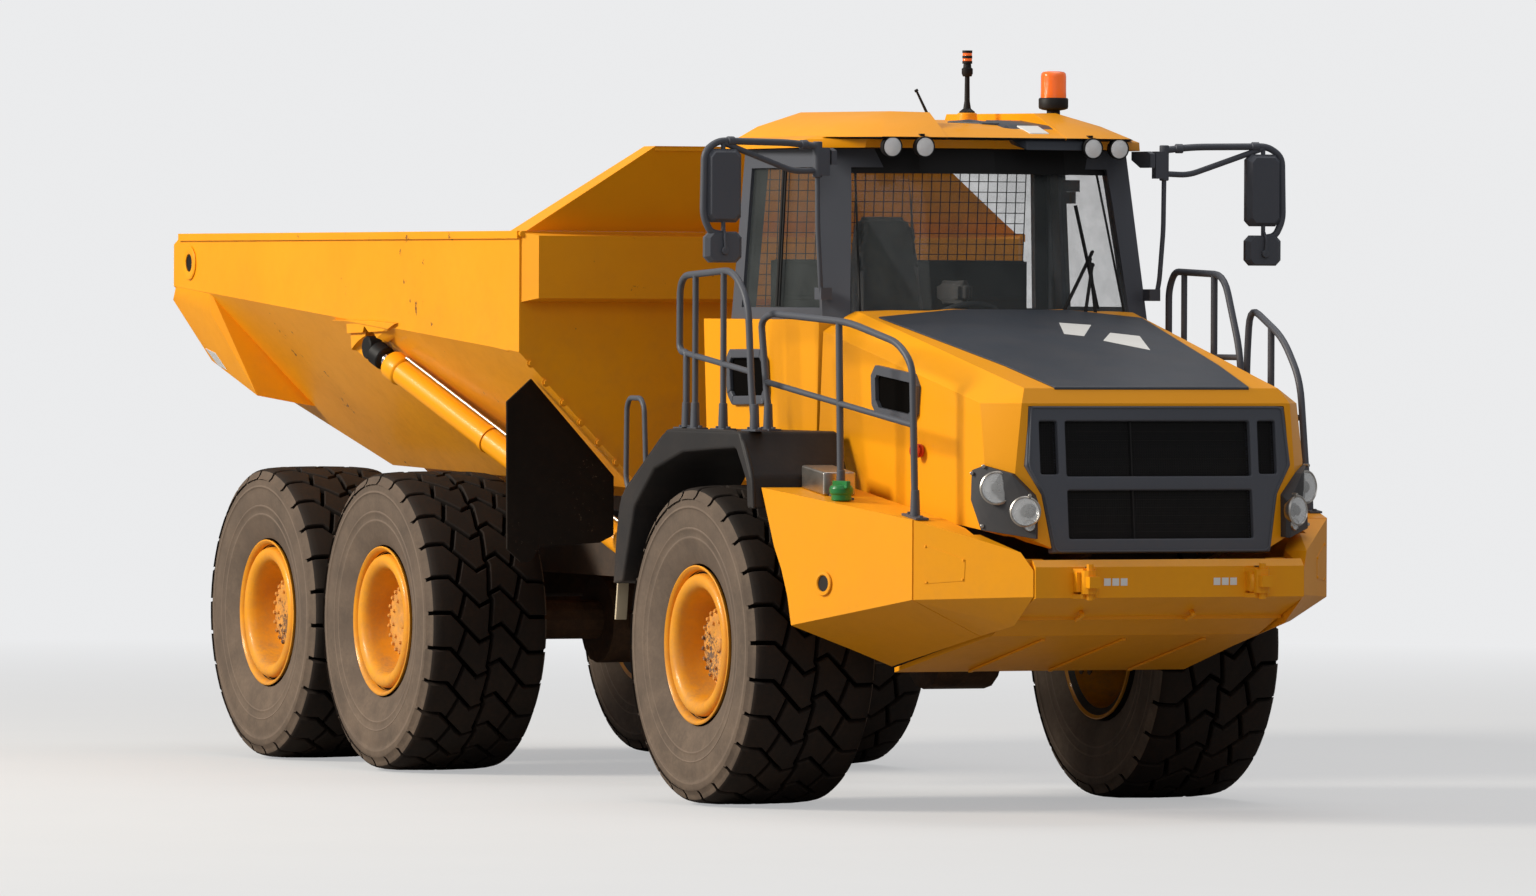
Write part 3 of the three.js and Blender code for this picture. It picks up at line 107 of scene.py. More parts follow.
class Shape:
    """A mesh in the making, in places from the front axle."""

    def __init__(self) -> None:
        """Starts an empty mesh whose faces take the first finish."""
        self.bm = bmesh.new()
        self.finish = 0

    def _keep(self, faces: Iterable[BMFace]) -> "Shape":
        """Gives new faces the current finish."""
        for face in faces:
            face.material_index = self.finish
        return self

    def polygon_solid(self, low: Sequence[Point], high: Sequence[Point]) -> "Shape":
        """A closed solid between two outlines of the same number of points.

        Args:
            low: the first outline.
            high: the second outline, point for point.
        """
        first = [self.bm.verts.new(p) for p in low]
        last = [self.bm.verts.new(p) for p in high]
        count = len(first)
        faces = [self.bm.faces.new(first[::-1]), self.bm.faces.new(last)]
        for i in range(count):
            j = (i + 1) % count
            faces.append(self.bm.faces.new([first[i], first[j], last[j], last[i]]))
        bmesh.ops.recalc_face_normals(self.bm, faces=faces)
        return self._keep(faces)

    def prism(self, outline: Outline, plane: Plane, low: float, high: float) -> "Shape":
        """An outline pushed from one depth to another."""
        return self.polygon_solid([plane.lay(a, b, low) for a, b in outline],
            [plane.lay(a, b, high) for a, b in outline])

    def box(self, low: Point, high: Point) -> "Shape":
        """A block between two corners."""
        corners = [(low[0], low[1]), (high[0], low[1]), (high[0], high[1]), (low[0], high[1])]
        return self.prism(corners, Plane.TOP, low[2], high[2])

    def hull(self, points: Iterable[Point]) -> "Shape":
        """The tightest convex solid round some points."""
        made = bmesh.new()
        for p in points:
            made.verts.new(p)
        bmesh.ops.convex_hull(made, input=made.verts)
        bmesh.ops.delete(made, geom=[v for v in made.verts if not v.link_faces], context="VERTS")
        bmesh.ops.dissolve_limit(made, angle_limit=0.01, verts=made.verts, edges=made.edges)
        bmesh.ops.recalc_face_normals(made, faces=made.faces)
        return self.absorb(made)

    def absorb(self, made: BMesh, matrix: Matrix | None = None) -> "Shape":
        """Takes in another mesh, which is freed."""
        if matrix is not None:
            bmesh.ops.transform(made, matrix=matrix, verts=made.verts)
        scratch = poured(made)
        before = len(self.bm.faces)
        self.bm.from_mesh(scratch)
        bpy.data.meshes.remove(scratch)
        self.bm.faces.ensure_lookup_table()
        return self._keep(self.bm.faces[before:])

    def lathe(self, profile: Outline, centre: Point, axis: Vector, sides: int = 48) -> "Shape":
        """A profile of (radius, distance along the axis) spun round an axis.

        Args:
            profile: an open line that starts and ends at radius 0, or a closed ring of points.
            centre: where the axis starts.
            axis: the axis's direction.
            sides: how many steps a turn takes.
        """
        closed = profile[0] == profile[-1]
        points = list(profile[:-1]) if closed else list(profile)
        turn = axis.to_track_quat("Z", "Y").to_matrix()
        rings = []
        for radius, along in points:
            if radius < 1e-6:
                rings.append([self.bm.verts.new(Vector(centre) + turn @ Vector((0, 0, along)))])
                continue
            rings.append([self.bm.verts.new(Vector(centre) + turn
                @ Vector((radius * math.cos(math.tau * k / sides), radius * math.sin(math.tau * k / sides), along)))
                for k in range(sides)])
        faces = []
        spans = list(zip(rings, rings[1:] + (rings[:1] if closed else [])))
        for inner, outer in spans:
            for k in range(sides):
                nxt = (k + 1) % sides
                if len(inner) == 1 and len(outer) == 1:
                    continue
                if len(inner) == 1:
                    faces.append(self.bm.faces.new([inner[0], outer[k], outer[nxt]]))
                elif len(outer) == 1:
                    faces.append(self.bm.faces.new([inner[k], outer[0], inner[nxt]]))
                else:
                    faces.append(self.bm.faces.new([inner[k], outer[k], outer[nxt], inner[nxt]]))
        bmesh.ops.recalc_face_normals(self.bm, faces=faces)
        return self._keep(faces)

    def rod(self, start: Point, end: Point, radius: float, end_radius: float | None = None, sides: int = 24,
            rounding: float = 0.15) -> "Shape":
        """A round bar with softened rims."""
        way = Vector(end) - Vector(start)
        last = radius if end_radius is None else end_radius
        soft = min(radius, last) * rounding
        profile = [(0, 0), (radius - soft, 0), (radius, soft), (last, way.length - soft), (last - soft, way.length),
            (0, way.length)]
        return self.lathe(profile, start, way, sides)

    def tube(self, corners: Sequence[Point], radius: float, bend: float = 0.08, sides: int = 14) -> "Shape":
        """A bent round tube with closed ends.

        Args:
            corners: the points that the tube's centreline turns at.
            radius: the tube's radius.
            bend: how far from a corner its bend starts.
            sides: facets round the tube.
        """
        path = smooth_path([Vector(c) for c in corners], bend)
        normal = (path[1] - path[0]).orthogonal().normalized()
        rings = []
        for i, p in enumerate(path):
            ahead = (path[min(i + 1, len(path) - 1)] - path[max(i - 1, 0)]).normalized()
            normal = (normal - ahead * normal.dot(ahead)).normalized()
            across = ahead.cross(normal)
            rings.append([self.bm.verts.new(p + (normal * math.cos(math.tau * k / sides) + across
                * math.sin(math.tau * k / sides)) * radius) for k in range(sides)])
        faces = [self.bm.faces.new(rings[0]), self.bm.faces.new(rings[-1][::-1])]
        for a, b in zip(rings, rings[1:]):
            for k in range(sides):
                nxt = (k + 1) % sides
                faces.append(self.bm.faces.new([a[k], a[nxt], b[nxt], b[k]]))
        bmesh.ops.recalc_face_normals(self.bm, faces=faces)
        return self._keep(faces)

    def bent(self, matrix: Matrix) -> "Shape":
        """Moves all that is made so far."""
        bmesh.ops.transform(self.bm, matrix=matrix, verts=self.bm.verts)
        if matrix.determinant() < 0:
            bmesh.ops.reverse_faces(self.bm, faces=self.bm.faces)
        return self

    def to_object(self, name: str, finishes: Sequence[Material], rounding: float = 0.0, steps: int = 2) -> Object:
        """Ends the making.

        Args:
            name: the piece's name.
            finishes: its materials, in the order of the finish numbers.
            rounding: width of the rounded edges, or 0 for none.
            steps: facets across a rounded edge.

        Returns:
            The piece, at the frame's origin.
        """
        bmesh.ops.translate(self.bm, verts=self.bm.verts, vec=(FRONT_AXLE, 0, 0))
        mesh = poured(self.bm, name)
        return dressed(name, mesh, finishes, rounding, steps)


def smooth_path(corners: Sequence[Vector], bend: float, steps: int = 5) -> list[Vector]:
    """A line through corners, with each inner corner rounded."""
    path = [corners[0]]
    for before, corner, after in zip(corners, corners[1:], corners[2:]):
        back, ahead = before - corner, after - corner
        reach = min(bend, back.length * 0.45, ahead.length * 0.45)
        start, end = corner + back.normalized() * reach, corner + ahead.normalized() * reach
        for k in range(steps + 1):
            t = k / steps
            path.append(start.lerp(corner, t).lerp(corner.lerp(end, t), t))
    path.append(corners[-1])
    return path


def dressed(name: str, mesh: Mesh, finishes: Sequence[Material], rounding: float = 0.0, steps: int = 2) -> Object:
    """A mesh as a piece with its finishes, smooth faces and rounded edges."""
    for finish in finishes:
        mesh.materials.append(finish)
    mesh.shade_smooth()
    mesh.set_sharp_from_angle(angle=SHARP_ANGLE)
    piece = bpy.data.objects.new(name, mesh)
    shown(piece)
    if rounding:
        bevel = piece.modifiers.new("rounding", "BEVEL")
        bevel.width, bevel.segments = rounding, steps
        bevel.limit_method, bevel.angle_limit = "ANGLE", math.radians(24)
        bevel.miter_outer = "MITER_ARC"
        weighted = piece.modifiers.new("flat_faces", "WEIGHTED_NORMAL")
        weighted.keep_sharp = False
    return piece


def settle(piece: Object, body: str, slot: str, *replaced: str) -> Object:
    """Makes a piece ride on its body and hides the frame nodes that it stands for.

    Args:
        piece: the finished piece.
        body: the body that it moves with.
        slot: the record's material slot; not used.
        replaced: frame nodes that it stands for.

    Returns:
        The same piece.
    """
    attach(piece, body)
    if replaced:
        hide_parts(*replaced)
    LOG.info("%s rides on %s", piece.name, body)
    return piece


def frame_copy(node: str) -> BMesh:
    """A frame node's mesh, merged and freed of flat seams, in places from the front axle."""
    made = bmesh.new()
    made.from_mesh(frame["nodes"][node].data)
    bmesh.ops.remove_doubles(made, verts=made.verts, dist=2e-5)
    bmesh.ops.dissolve_limit(made, angle_limit=math.radians(0.6), verts=made.verts, edges=made.edges)
    bmesh.ops.translate(made, verts=made.verts, vec=(-FRONT_AXLE, 0, 0))
    return made


def softened(node: str, name: str, finishes: Sequence[Material], rounding: float = 0.006,
        choose: Callable[[BMFace], int] | None = None) -> Object:
    """A frame node's shape with rounded edges.

    Args:
        node: the frame node.
        name: the new piece's name.
        finishes: its materials.
        rounding: width of the rounded edges.
        choose: picks the number of a face's finish, measured from the front axle.

    Returns:
        The piece.
    """
    shape = Shape()
    shape.bm.free()
    shape.bm = frame_copy(node)
    for face in shape.bm.faces:
        face.material_index = choose(face) if choose else 0
    return shape.to_object(name, finishes, rounding)


class Socket(Enum):
    """Kinds of input and output that a node group has."""

    NUMBER = "NodeSocketFloat"
    COLOUR = "NodeSocketColor"
    WHOLE = "NodeSocketInt"
    OBJECT = "NodeSocketObject"
    MATERIAL = "NodeSocketMaterial"
    GEOMETRY = "NodeSocketGeometry"


class Sheet:
    """A node tree being drawn up."""

    def __init__(self, tree: NodeTree) -> None:
        """Starts on a tree, which is emptied of its nodes."""
        self.tree = tree
        tree.nodes.clear()

    def node(self, kind: str, settings: dict | None = None, **inputs: object) -> Node:
        """Adds a node.

        Args:
            kind: the node's type.
            settings: its properties.
            inputs: values or outputs for its inputs, by name with _ for a space, or iN for input N.

        Returns:
            The node.
        """
        made = self.tree.nodes.new(kind)
        for key, value in (settings or {}).items():
            setattr(made, key, value)
        for key, value in inputs.items():
            target = made.inputs[int(key[1:]) if key[0] == "i" and key[1:].isdigit() else key.replace("_", " ")]
            if isinstance(value, NodeSocket):
                self.tree.links.new(value, target)
            else:
                target.default_value = value
        return made

    def out(self, kind: str, **inputs: object) -> NodeSocket:
        """The first output of a new node."""
        return self.node(kind, None, **inputs).outputs[0]

    def spot(self) -> NodeSocket:
        """The place on the piece that is being coloured."""
        return self.node("ShaderNodeTexCoord").outputs["Object"]

    def link(self, start: NodeSocket, end: NodeSocket) -> None:
        """Joins an output to an input."""
        self.tree.links.new(start, end)

    def math(self, what: str, a: object, b: object = 0.0, clamp: bool = False) -> NodeSocket:
        """A Math node's output."""
        return self.node("ShaderNodeMath", {"operation": what, "use_clamp": clamp}, i0=a, i1=b).outputs[0]

    def mix(self, share: object, a: object, b: object) -> NodeSocket:
        """A blend of two colours."""
        made = self.node("ShaderNodeMix", {"data_type": "RGBA"}, i0=share, i6=a, i7=b)
        return made.outputs[2]

    def spread(self, value: object, low: float, high: float, to_low: float = 0.0, to_high: float = 1.0) -> NodeSocket:
        """A value mapped from one range to another, held inside it."""
        return self.node("ShaderNodeMapRange", {"clamp": True}, i0=value, i1=low, i2=high, i3=to_low,
            i4=to_high).outputs[0]

    def noise(self, vector: object, scale: object, detail: float = 4.0, rough: float = 0.55) -> NodeSocket:
        """A noise value."""
        return self.node("ShaderNodeTexNoise", None, Vector=vector, Scale=scale, Detail=detail,
            Roughness=rough).outputs[0]


def group_tree(name: str, inputs: dict[str, tuple[Socket, object]], outputs: dict[str, Socket],
        kind: str = "ShaderNodeTree") -> tuple[Sheet, NodeOutputs, NodeInputs]:
    """Starts a node group with named inputs and outputs.

    Args:
        name: the group's name.
        inputs: each input's kind and value, or None for no value.
        outputs: each output's kind.
        kind: shader or geometry tree.

    Returns:
        The sheet, what the group is given and what it gives.
    """
    tree = bpy.data.node_groups.new(name, kind)
    for label, (socket, value) in inputs.items():
        made = tree.interface.new_socket(name=label, in_out="INPUT", socket_type=socket.value)
        if value is not None:
            made.default_value = value
    for label, socket in outputs.items():
        tree.interface.new_socket(name=label, in_out="OUTPUT", socket_type=socket.value)
    sheet = Sheet(tree)
    return sheet, tree.nodes.new("NodeGroupInput").outputs, tree.nodes.new("NodeGroupOutput").inputs


def grime_group() -> NodeTree:
    """Dust that gathers low down, on upward faces and in patches."""
    sheet, start, end = group_tree("grime", {"Colour": (Socket.COLOUR, (0.8, 0.8, 0.8, 1)),
        "Dust": (Socket.COLOUR, (0.3, 0.24, 0.18, 1)), "Amount": (Socket.NUMBER, 0.3), "Low": (Socket.NUMBER, 0.4),
        "High": (Socket.NUMBER, 1.6), "Settled": (Socket.NUMBER, 0.2), "Scale": (Socket.NUMBER, 3.0)},
        {"Colour": Socket.COLOUR, "Mask": Socket.NUMBER})
    spot = sheet.spot()
    height = sheet.node("ShaderNodeSeparateXYZ", None, i0=spot).outputs[2]
    facing = sheet.node("ShaderNodeSeparateXYZ", None,
        i0=sheet.node("ShaderNodeNewGeometry").outputs["Normal"]).outputs[2]
    fall = sheet.node("ShaderNodeMapRange", {"clamp": True}, i0=height, i1=start["Low"], i2=start["High"], i3=1.0,
        i4=0.0).outputs[0]
    broad = sheet.spread(sheet.noise(spot, start["Scale"], 6.0, 0.65), 0.38, 0.7)
    fine = sheet.spread(sheet.noise(spot, sheet.math("MULTIPLY", start["Scale"], 9.0), 3.0), 0.35, 0.75, 0.55)
    low_dust = sheet.math("MULTIPLY", sheet.math("MULTIPLY", fall, start["Amount"]), sheet.math("ADD", broad, 0.35))
    top_dust = sheet.math("MULTIPLY", sheet.spread(facing, 0.5, 1.0), start["Settled"])
    mask = sheet.math("MULTIPLY", sheet.math("ADD", low_dust, sheet.math("MULTIPLY", top_dust, broad)), fine, True)
    sheet.link(sheet.mix(mask, start["Colour"], start["Dust"]), end["Colour"])
    sheet.link(mask, end["Mask"])
    return sheet.tree


def mottle_group() -> NodeTree:
    """A slow change of shade over a surface."""
    sheet, start, end = group_tree("mottle", {"Colour": (Socket.COLOUR, (0.8, 0.8, 0.8, 1)),
        "Second": (Socket.COLOUR, (0.6, 0.6, 0.6, 1)), "Share": (Socket.NUMBER, 0.2), "Scale": (Socket.NUMBER, 1.5)},
        {"Colour": Socket.COLOUR, "Value": Socket.NUMBER})
    spot = sheet.spot()
    value = sheet.spread(sheet.noise(spot, start["Scale"], 5.0, 0.6), 0.3, 0.7)
    share = sheet.math("MULTIPLY", value, start["Share"])
    sheet.link(sheet.mix(share, start["Colour"], start["Second"]), end["Colour"])
    sheet.link(value, end["Value"])
    return sheet.tree


def grain_group() -> NodeTree:
    """A fine moulded or sprayed grain, as a height."""
    sheet, start, end = group_tree("grain", {"Scale": (Socket.NUMBER, 200.0), "Pebble": (Socket.NUMBER, 0.5)},
        {"Height": Socket.NUMBER})
    spot = sheet.spot()
    cells = sheet.node("ShaderNodeTexVoronoi", {"feature": "SMOOTH_F1"}, Vector=spot,
        Scale=start["Scale"]).outputs["Distance"]
    rough = sheet.noise(spot, start["Scale"], 3.0)
    sum_ = sheet.math("ADD", sheet.math("MULTIPLY", cells, start["Pebble"]), rough)
    sheet.link(sum_, end["Height"])
    return sheet.tree


def chip_group() -> NodeTree:
    """Small chips and scuffs that show what is under a finish."""
    sheet, start, end = group_tree("chips", {"Colour": (Socket.COLOUR, (0.8, 0.8, 0.8, 1)),
        "Under": (Socket.COLOUR, (0.12, 0.06, 0.03, 1)), "Amount": (Socket.NUMBER, 0.1),
        "Scale": (Socket.NUMBER, 14.0), "Stretch": (Socket.NUMBER, 1.0)},
        {"Colour": Socket.COLOUR, "Mask": Socket.NUMBER})
    spot = sheet.spot()
    stretched = sheet.node("ShaderNodeVectorMath", {"operation": "MULTIPLY"}, i0=spot, i1=(1, 1, 1))
    sheet.link(sheet.out("ShaderNodeCombineXYZ", i0=1.0, i1=1.0, i2=start["Stretch"]), stretched.inputs[1])
    patches = sheet.noise(stretched.outputs[0], start["Scale"], 8.0, 0.75)
    where = sheet.noise(spot, 1.3, 2.0)
    level = sheet.math("SUBTRACT", 0.78, sheet.math("MULTIPLY", start["Amount"], sheet.spread(where, 0.35, 0.65)))
    over = sheet.math("SUBTRACT", patches, level)
    mask = sheet.spread(over, 0.0, 0.025)
    sheet.link(sheet.mix(mask, start["Colour"], start["Under"]), end["Colour"])
    sheet.link(mask, end["Mask"])
    return sheet.tree


GROUPS: dict[str, NodeTree] = {}


def shared(name: str) -> NodeTree:
    """A shader group by name, built the first time that it is asked for."""
    makers = {"grime": grime_group, "mottle": mottle_group, "grain": grain_group, "chips": chip_group}
    if name not in GROUPS:
        GROUPS[name] = makers[name]()
    return GROUPS[name]


def rgba(colour: Colour) -> tuple[float, float, float, float]:
    """A colour with full opacity."""
    return (*colour, 1.0)


def begun(name: str) -> tuple[Material, Sheet]:
    """A new material and its empty sheet."""
    material = bpy.data.materials.new(name)
    material.use_nodes = True
    return material, Sheet(material.node_tree)


@dataclass(frozen=True)
class Coating:
    """A coated, moulded or cast surface: paint, plastic, rubber or steel."""

    name: str
    colour: Colour
    second: Colour
    roughness: float = 0.5
    metallic: float = 0.0
    coat: float = 0.0
    mottling: float = 0.4
    mottle_scale: float = 1.2
    dust: Colour = (0.23, 0.16, 0.11)
    dust_amount: float = 0.25
    dust_low: float = 0.5
    dust_high: float = 1.9
    settled: float = 0.12
    dust_scale: float = 2.6
    chips: float = 0.0
    chip_colour: Colour = (0.1, 0.045, 0.02)
    chip_scale: float = 16.0
    chip_stretch: float = 1.0
    grain_scale: float = 160.0
    grain_height: float = 0.0006
    pebble: float = 0.3
    specular: float = 0.35

    def build(self) -> Material:
        """Makes the material."""
        material, sheet = begun(self.name)
        material.diffuse_color = rgba(self.colour)

        def grouped(name: str, **values: object) -> Node:
            """Places a shared group."""
            return sheet.node("ShaderNodeGroup", {"node_tree": shared(name)}, **values)

        mottle = grouped("mottle", Colour=rgba(self.colour), Second=rgba(self.second), Share=self.mottling,
            Scale=self.mottle_scale)
        colour = mottle.outputs["Colour"]
        if self.chips:
            chips = grouped("chips", Colour=colour, Under=rgba(self.chip_colour), Amount=self.chips,
                Scale=self.chip_scale, Stretch=self.chip_stretch)
            colour = chips.outputs["Colour"]
        grime = grouped("grime", Colour=colour, Dust=rgba(self.dust), Amount=self.dust_amount, Low=self.dust_low,
            High=self.dust_high, Settled=self.settled, Scale=self.dust_scale)
        mask = grime.outputs["Mask"]
        rough = sheet.math("ADD", sheet.math("MULTIPLY", mask, 0.85 - self.roughness),
            sheet.spread(mottle.outputs["Value"], 0, 1, self.roughness - 0.04, self.roughness + 0.05), True)
        grain = grouped("grain", Scale=self.grain_scale, Pebble=self.pebble)
        bump = sheet.node("ShaderNodeBump", None, Strength=0.5, Distance=self.grain_height,
            Height=grain.outputs["Height"])
        shader = sheet.node("ShaderNodeBsdfPrincipled", None, Base_Color=grime.outputs["Colour"], Roughness=rough,
            Metallic=self.metallic, Coat_Weight=self.coat, Coat_Roughness=0.12, Specular_IOR_Level=self.specular,
            Normal=bump.outputs[0])
        sheet.node("ShaderNodeOutputMaterial", None, Surface=shader.outputs[0])
        return material


@dataclass(frozen=True)
class Pane:
    """Clear or tinted glass."""

    name: str
    colour: Colour
    roughness: float = 0.02
    alpha: float = 0.3

    def build(self) -> Material:
        """Makes the material, with a faint haze of dust."""
        material, sheet = begun(self.name)
        material.surface_render_method = "BLENDED"
        spot = sheet.spot()
        haze = sheet.spread(sheet.noise(spot, 5.0, 6.0, 0.7), 0.35, 0.75, self.alpha, self.alpha + 0.1)
        rough = sheet.spread(sheet.noise(spot, 9.0, 5.0), 0.3, 0.7, self.roughness, self.roughness + 0.06)
        shader = sheet.node("ShaderNodeBsdfPrincipled", None, Base_Color=rgba(self.colour), Roughness=rough,
            Alpha=haze, IOR=1.45)
        sheet.node("ShaderNodeOutputMaterial", None, Surface=shader.outputs[0])
        return material


@dataclass(frozen=True)
class Lens:
    """A coloured or clear lamp lens with moulded ribs."""

    name: str
    colour: Colour
    glow: float = 0.0
    roughness: float = 0.12
    ribs: float = 90.0
    metallic: float = 0.0

    def build(self) -> Material:
        """Makes the material."""
        material, sheet = begun(self.name)
        spot = sheet.spot()
        bands = sheet.node("ShaderNodeTexWave", {"bands_direction": "Z"}, Vector=spot, Scale=self.ribs).outputs["Fac"]
        depth = sheet.spread(sheet.noise(spot, 30.0), 0.3, 0.7, 0.8, 1.0)
        shade = sheet.mix(depth, rgba(tuple(c * 0.6 for c in self.colour)), rgba(self.colour))
        bump = sheet.node("ShaderNodeBump", None, Strength=0.35, Distance=0.002, Height=bands)
        shader = sheet.node("ShaderNodeBsdfPrincipled", None, Base_Color=shade, Roughness=self.roughness,
            Metallic=self.metallic, Coat_Weight=0.6, Coat_Roughness=0.05, Emission_Color=rgba(self.colour),
            Emission_Strength=self.glow, Normal=bump.outputs[0])
        sheet.node("ShaderNodeOutputMaterial", None, Surface=shader.outputs[0])
        return material


@dataclass(frozen=True)
class Weave:
    """Woven seat cloth."""

    name: str
    colour: Colour
    thread: float = 0.0022

    def build(self) -> Material:
        """Makes the material."""
        material, sheet = begun(self.name)
        spot = sheet.spot()
        scale = 1 / (self.thread * 6.28)
        across = [sheet.node("ShaderNodeTexWave", {"bands_direction": way, "wave_profile": "SIN"}, Vector=spot,
            Scale=scale).outputs["Fac"] for way in ("Y", "DIAGONAL")]
        height = sheet.math("MAXIMUM", *across)
        # Darker where the weave sinks: painted shade between the threads.
        tone = sheet.mix(sheet.spread(height, 0.2, 0.9), rgba(tuple(c * 0.55 for c in self.colour)), rgba(self.colour))
        tone = sheet.mix(sheet.spread(sheet.noise(spot, 7.0), 0.4, 0.7, 0, 0.25), tone, rgba((0.2, 0.17, 0.14)))
        bump = sheet.node("ShaderNodeBump", None, Strength=0.6, Distance=0.0008, Height=height)
        shader = sheet.node("ShaderNodeBsdfPrincipled", None, Base_Color=tone, Roughness=0.92, Sheen_Weight=0.25,
            Normal=bump.outputs[0])
        sheet.node("ShaderNodeOutputMaterial", None, Surface=shader.outputs[0])
        return material


class Finish(Enum):
    """Every finish on the truck."""

    YELLOW = Coating("yellow_paint", (0.92, 0.37, 0.004), (0.86, 0.31, 0.003), 0.42, coat=0.12, mottling=0.35,
        specular=0.22, dust=(0.34, 0.16, 0.05), dust_amount=0.22, grain_scale=90, grain_height=0.00025)
    BODY_YELLOW = Coating("body_paint", (0.91, 0.37, 0.004), (0.76, 0.27, 0.004), 0.44, coat=0.08, mottling=0.5,
        specular=0.22, dust=(0.34, 0.16, 0.06), dust_amount=0.4, dust_low=1.3, dust_high=3.0, settled=0.3, chips=0.17,
        chip_scale=11, chip_colour=(0.16, 0.06, 0.02), grain_scale=90, grain_height=0.0003)
    BODY_INSIDE = Coating("worn_body_floor", (0.3, 0.16, 0.06), (0.13, 0.11, 0.1), 0.62, metallic=0.25, mottling=0.95,
        mottle_scale=2.2, dust_amount=0.7, dust_low=1.4, dust_high=3.2, settled=0.6, chips=0.3,
        chip_colour=(0.33, 0.15, 0.03), chip_scale=5, chip_stretch=0.4, grain_scale=60, grain_height=0.0015)
    RIM_YELLOW = Coating("rim_paint", (0.9, 0.38, 0.008), (0.66, 0.23, 0.005), 0.4, coat=0.15, mottling=0.6,
        specular=0.25, mottle_scale=5, dust_amount=0.5, dust_low=0.2, dust_high=1.6, settled=0.3, dust_scale=7,
        grain_scale=120)
    HUB_DUSTY = Coating("dusty_hub", (0.88, 0.38, 0.035), (0.66, 0.27, 0.04), 0.62, mottling=0.85, mottle_scale=14,
        dust_amount=0.75, dust_low=0.2, dust_high=2.2, settled=0.3, dust_scale=22, chips=0.3, chip_scale=45,
        grain_scale=140, grain_height=0.002)
    CHARCOAL = Coating("charcoal_paint", (0.08, 0.088, 0.108), (0.064, 0.071, 0.088), 0.48, mottling=0.5,
        dust_amount=0.3, settled=0.16, grain_scale=220, grain_height=0.0003)
    PANEL_GREY = Coating("hood_panel_grey", (0.046, 0.054, 0.07), (0.036, 0.042, 0.054), 0.4, mottling=0.6,
        dust_amount=0.1, settled=0.08, dust_scale=5, grain_scale=300, grain_height=0.0004)
    PLASTIC = Coating("moulded_plastic", (0.04, 0.043, 0.05), (0.03, 0.032, 0.037), 0.58, mottling=0.5,
        dust_amount=0.35, settled=0.18, grain_scale=420, grain_height=0.0007, pebble=0.8)
    FENDER = Coating("fender_plastic", (0.011, 0.0115, 0.0135), (0.018, 0.018, 0.02), 0.55, mottling=0.6, specular=0.3,
        dust_amount=0.2, dust_high=2.2, settled=0.2, dust_scale=4, grain_scale=320, grain_height=0.0008)
    BLACK = Coating("black_paint", (0.008, 0.008, 0.009), (0.014, 0.014, 0.014), 0.55, specular=0.25, dust_amount=0.15,
        settled=0.08, grain_scale=240)
    CHASSIS = Coating("chassis_paint", (0.03, 0.028, 0.027), (0.055, 0.042, 0.032), 0.66, mottling=0.8,
        dust=(0.17, 0.1, 0.06), dust_amount=0.85, dust_low=0.3, dust_high=1.9, settled=0.5, dust_scale=5, chips=0.08,
        grain_scale=90, grain_height=0.001)
    IRON = Coating("dusty_iron", (0.075, 0.045, 0.028), (0.04, 0.026, 0.02), 0.74, metallic=0.2, mottling=0.9,
        mottle_scale=6, dust=(0.22, 0.12, 0.06), dust_amount=0.9, dust_low=0.2, dust_high=1.8, settled=0.4,
        dust_scale=8, chips=0.12, grain_scale=80, grain_height=0.0018)
    TREAD = Coating("tread_rubber", (0.0115, 0.01, 0.0095), (0.02, 0.015, 0.012), 0.82, mottling=0.7, specular=0.25,
        mottle_scale=3, dust=(0.075, 0.04, 0.022), dust_amount=0.36, dust_low=-0.6, dust_high=2.6, settled=0.1,
        dust_scale=5, grain_scale=160, grain_height=0.0012)
    # Near-black and dustless: painted shade, laid on the tyres' groove bottoms and on vent openings.
    PAINTED_SHADE_BLACK = Coating("tread_groove", (0.0022, 0.0018, 0.0016), (0.004, 0.003, 0.0025), 1.0, specular=0.05,
        dust_amount=0.0, settled=0.0, grain_scale=120, grain_height=0.001)
    SIDEWALL = Coating("sidewall_rubber", (0.118, 0.088, 0.068), (0.07, 0.056, 0.046), 0.85, mottling=0.8,
        specular=0.25, mottle_scale=3.5, dust=(0.205, 0.152, 0.112), dust_amount=0.85, dust_low=-0.6, dust_high=3.0,
        settled=0.1, dust_scale=6, grain_scale=240, grain_height=0.0008)
    # Lighter than the sidewall: painted highlight along the sidewall's ridge rings.
    SIDEWALL_RING = Coating("sidewall_ring", (0.165, 0.125, 0.098), (0.11, 0.085, 0.068), 0.8, mottling=0.7,
        specular=0.25, mottle_scale=4, dust=(0.24, 0.18, 0.135), dust_amount=0.9, dust_low=-0.6, dust_high=3.0,
        dust_scale=6, grain_scale=240)
    SHEET_RUBBER = Coating("flap_rubber", (0.006, 0.005, 0.0045), (0.012, 0.009, 0.007), 0.8, mottling=0.7,
        specular=0.15, dust=(0.09, 0.06, 0.04), dust_amount=0.15, dust_low=0.8, dust_high=2.6, chips=0.16,
        chip_scale=60, chip_colour=(0.1, 0.07, 0.045), grain_scale=180, grain_height=0.001)
    STEEL = Coating("bare_steel", (0.52, 0.5, 0.47), (0.36, 0.34, 0.31), 0.34, metallic=1.0, mottling=0.6,
        mottle_scale=12, dust_amount=0.2, grain_scale=260, grain_height=0.0003)
    CHROME = Coating("rod_chrome", (0.78, 0.78, 0.79), (0.66, 0.66, 0.68), 0.12, metallic=1.0, dust_amount=0.08,
        grain_scale=300, grain_height=0.0001)
    MIRROR = Coating("mirror_glass", (0.82, 0.84, 0.86), (0.78, 0.8, 0.83), 0.03, metallic=1.0, dust_amount=0.05,
        grain_height=0.00002)
    WHITE = Coating("white_marking", (0.8, 0.8, 0.78), (0.7, 0.7, 0.68), 0.4, dust_amount=0.15, settled=0.1)
    RED = Coating("red_button", (0.62, 0.05, 0.015), (0.5, 0.03, 0.01), 0.3, coat=0.4, dust_amount=0.1)
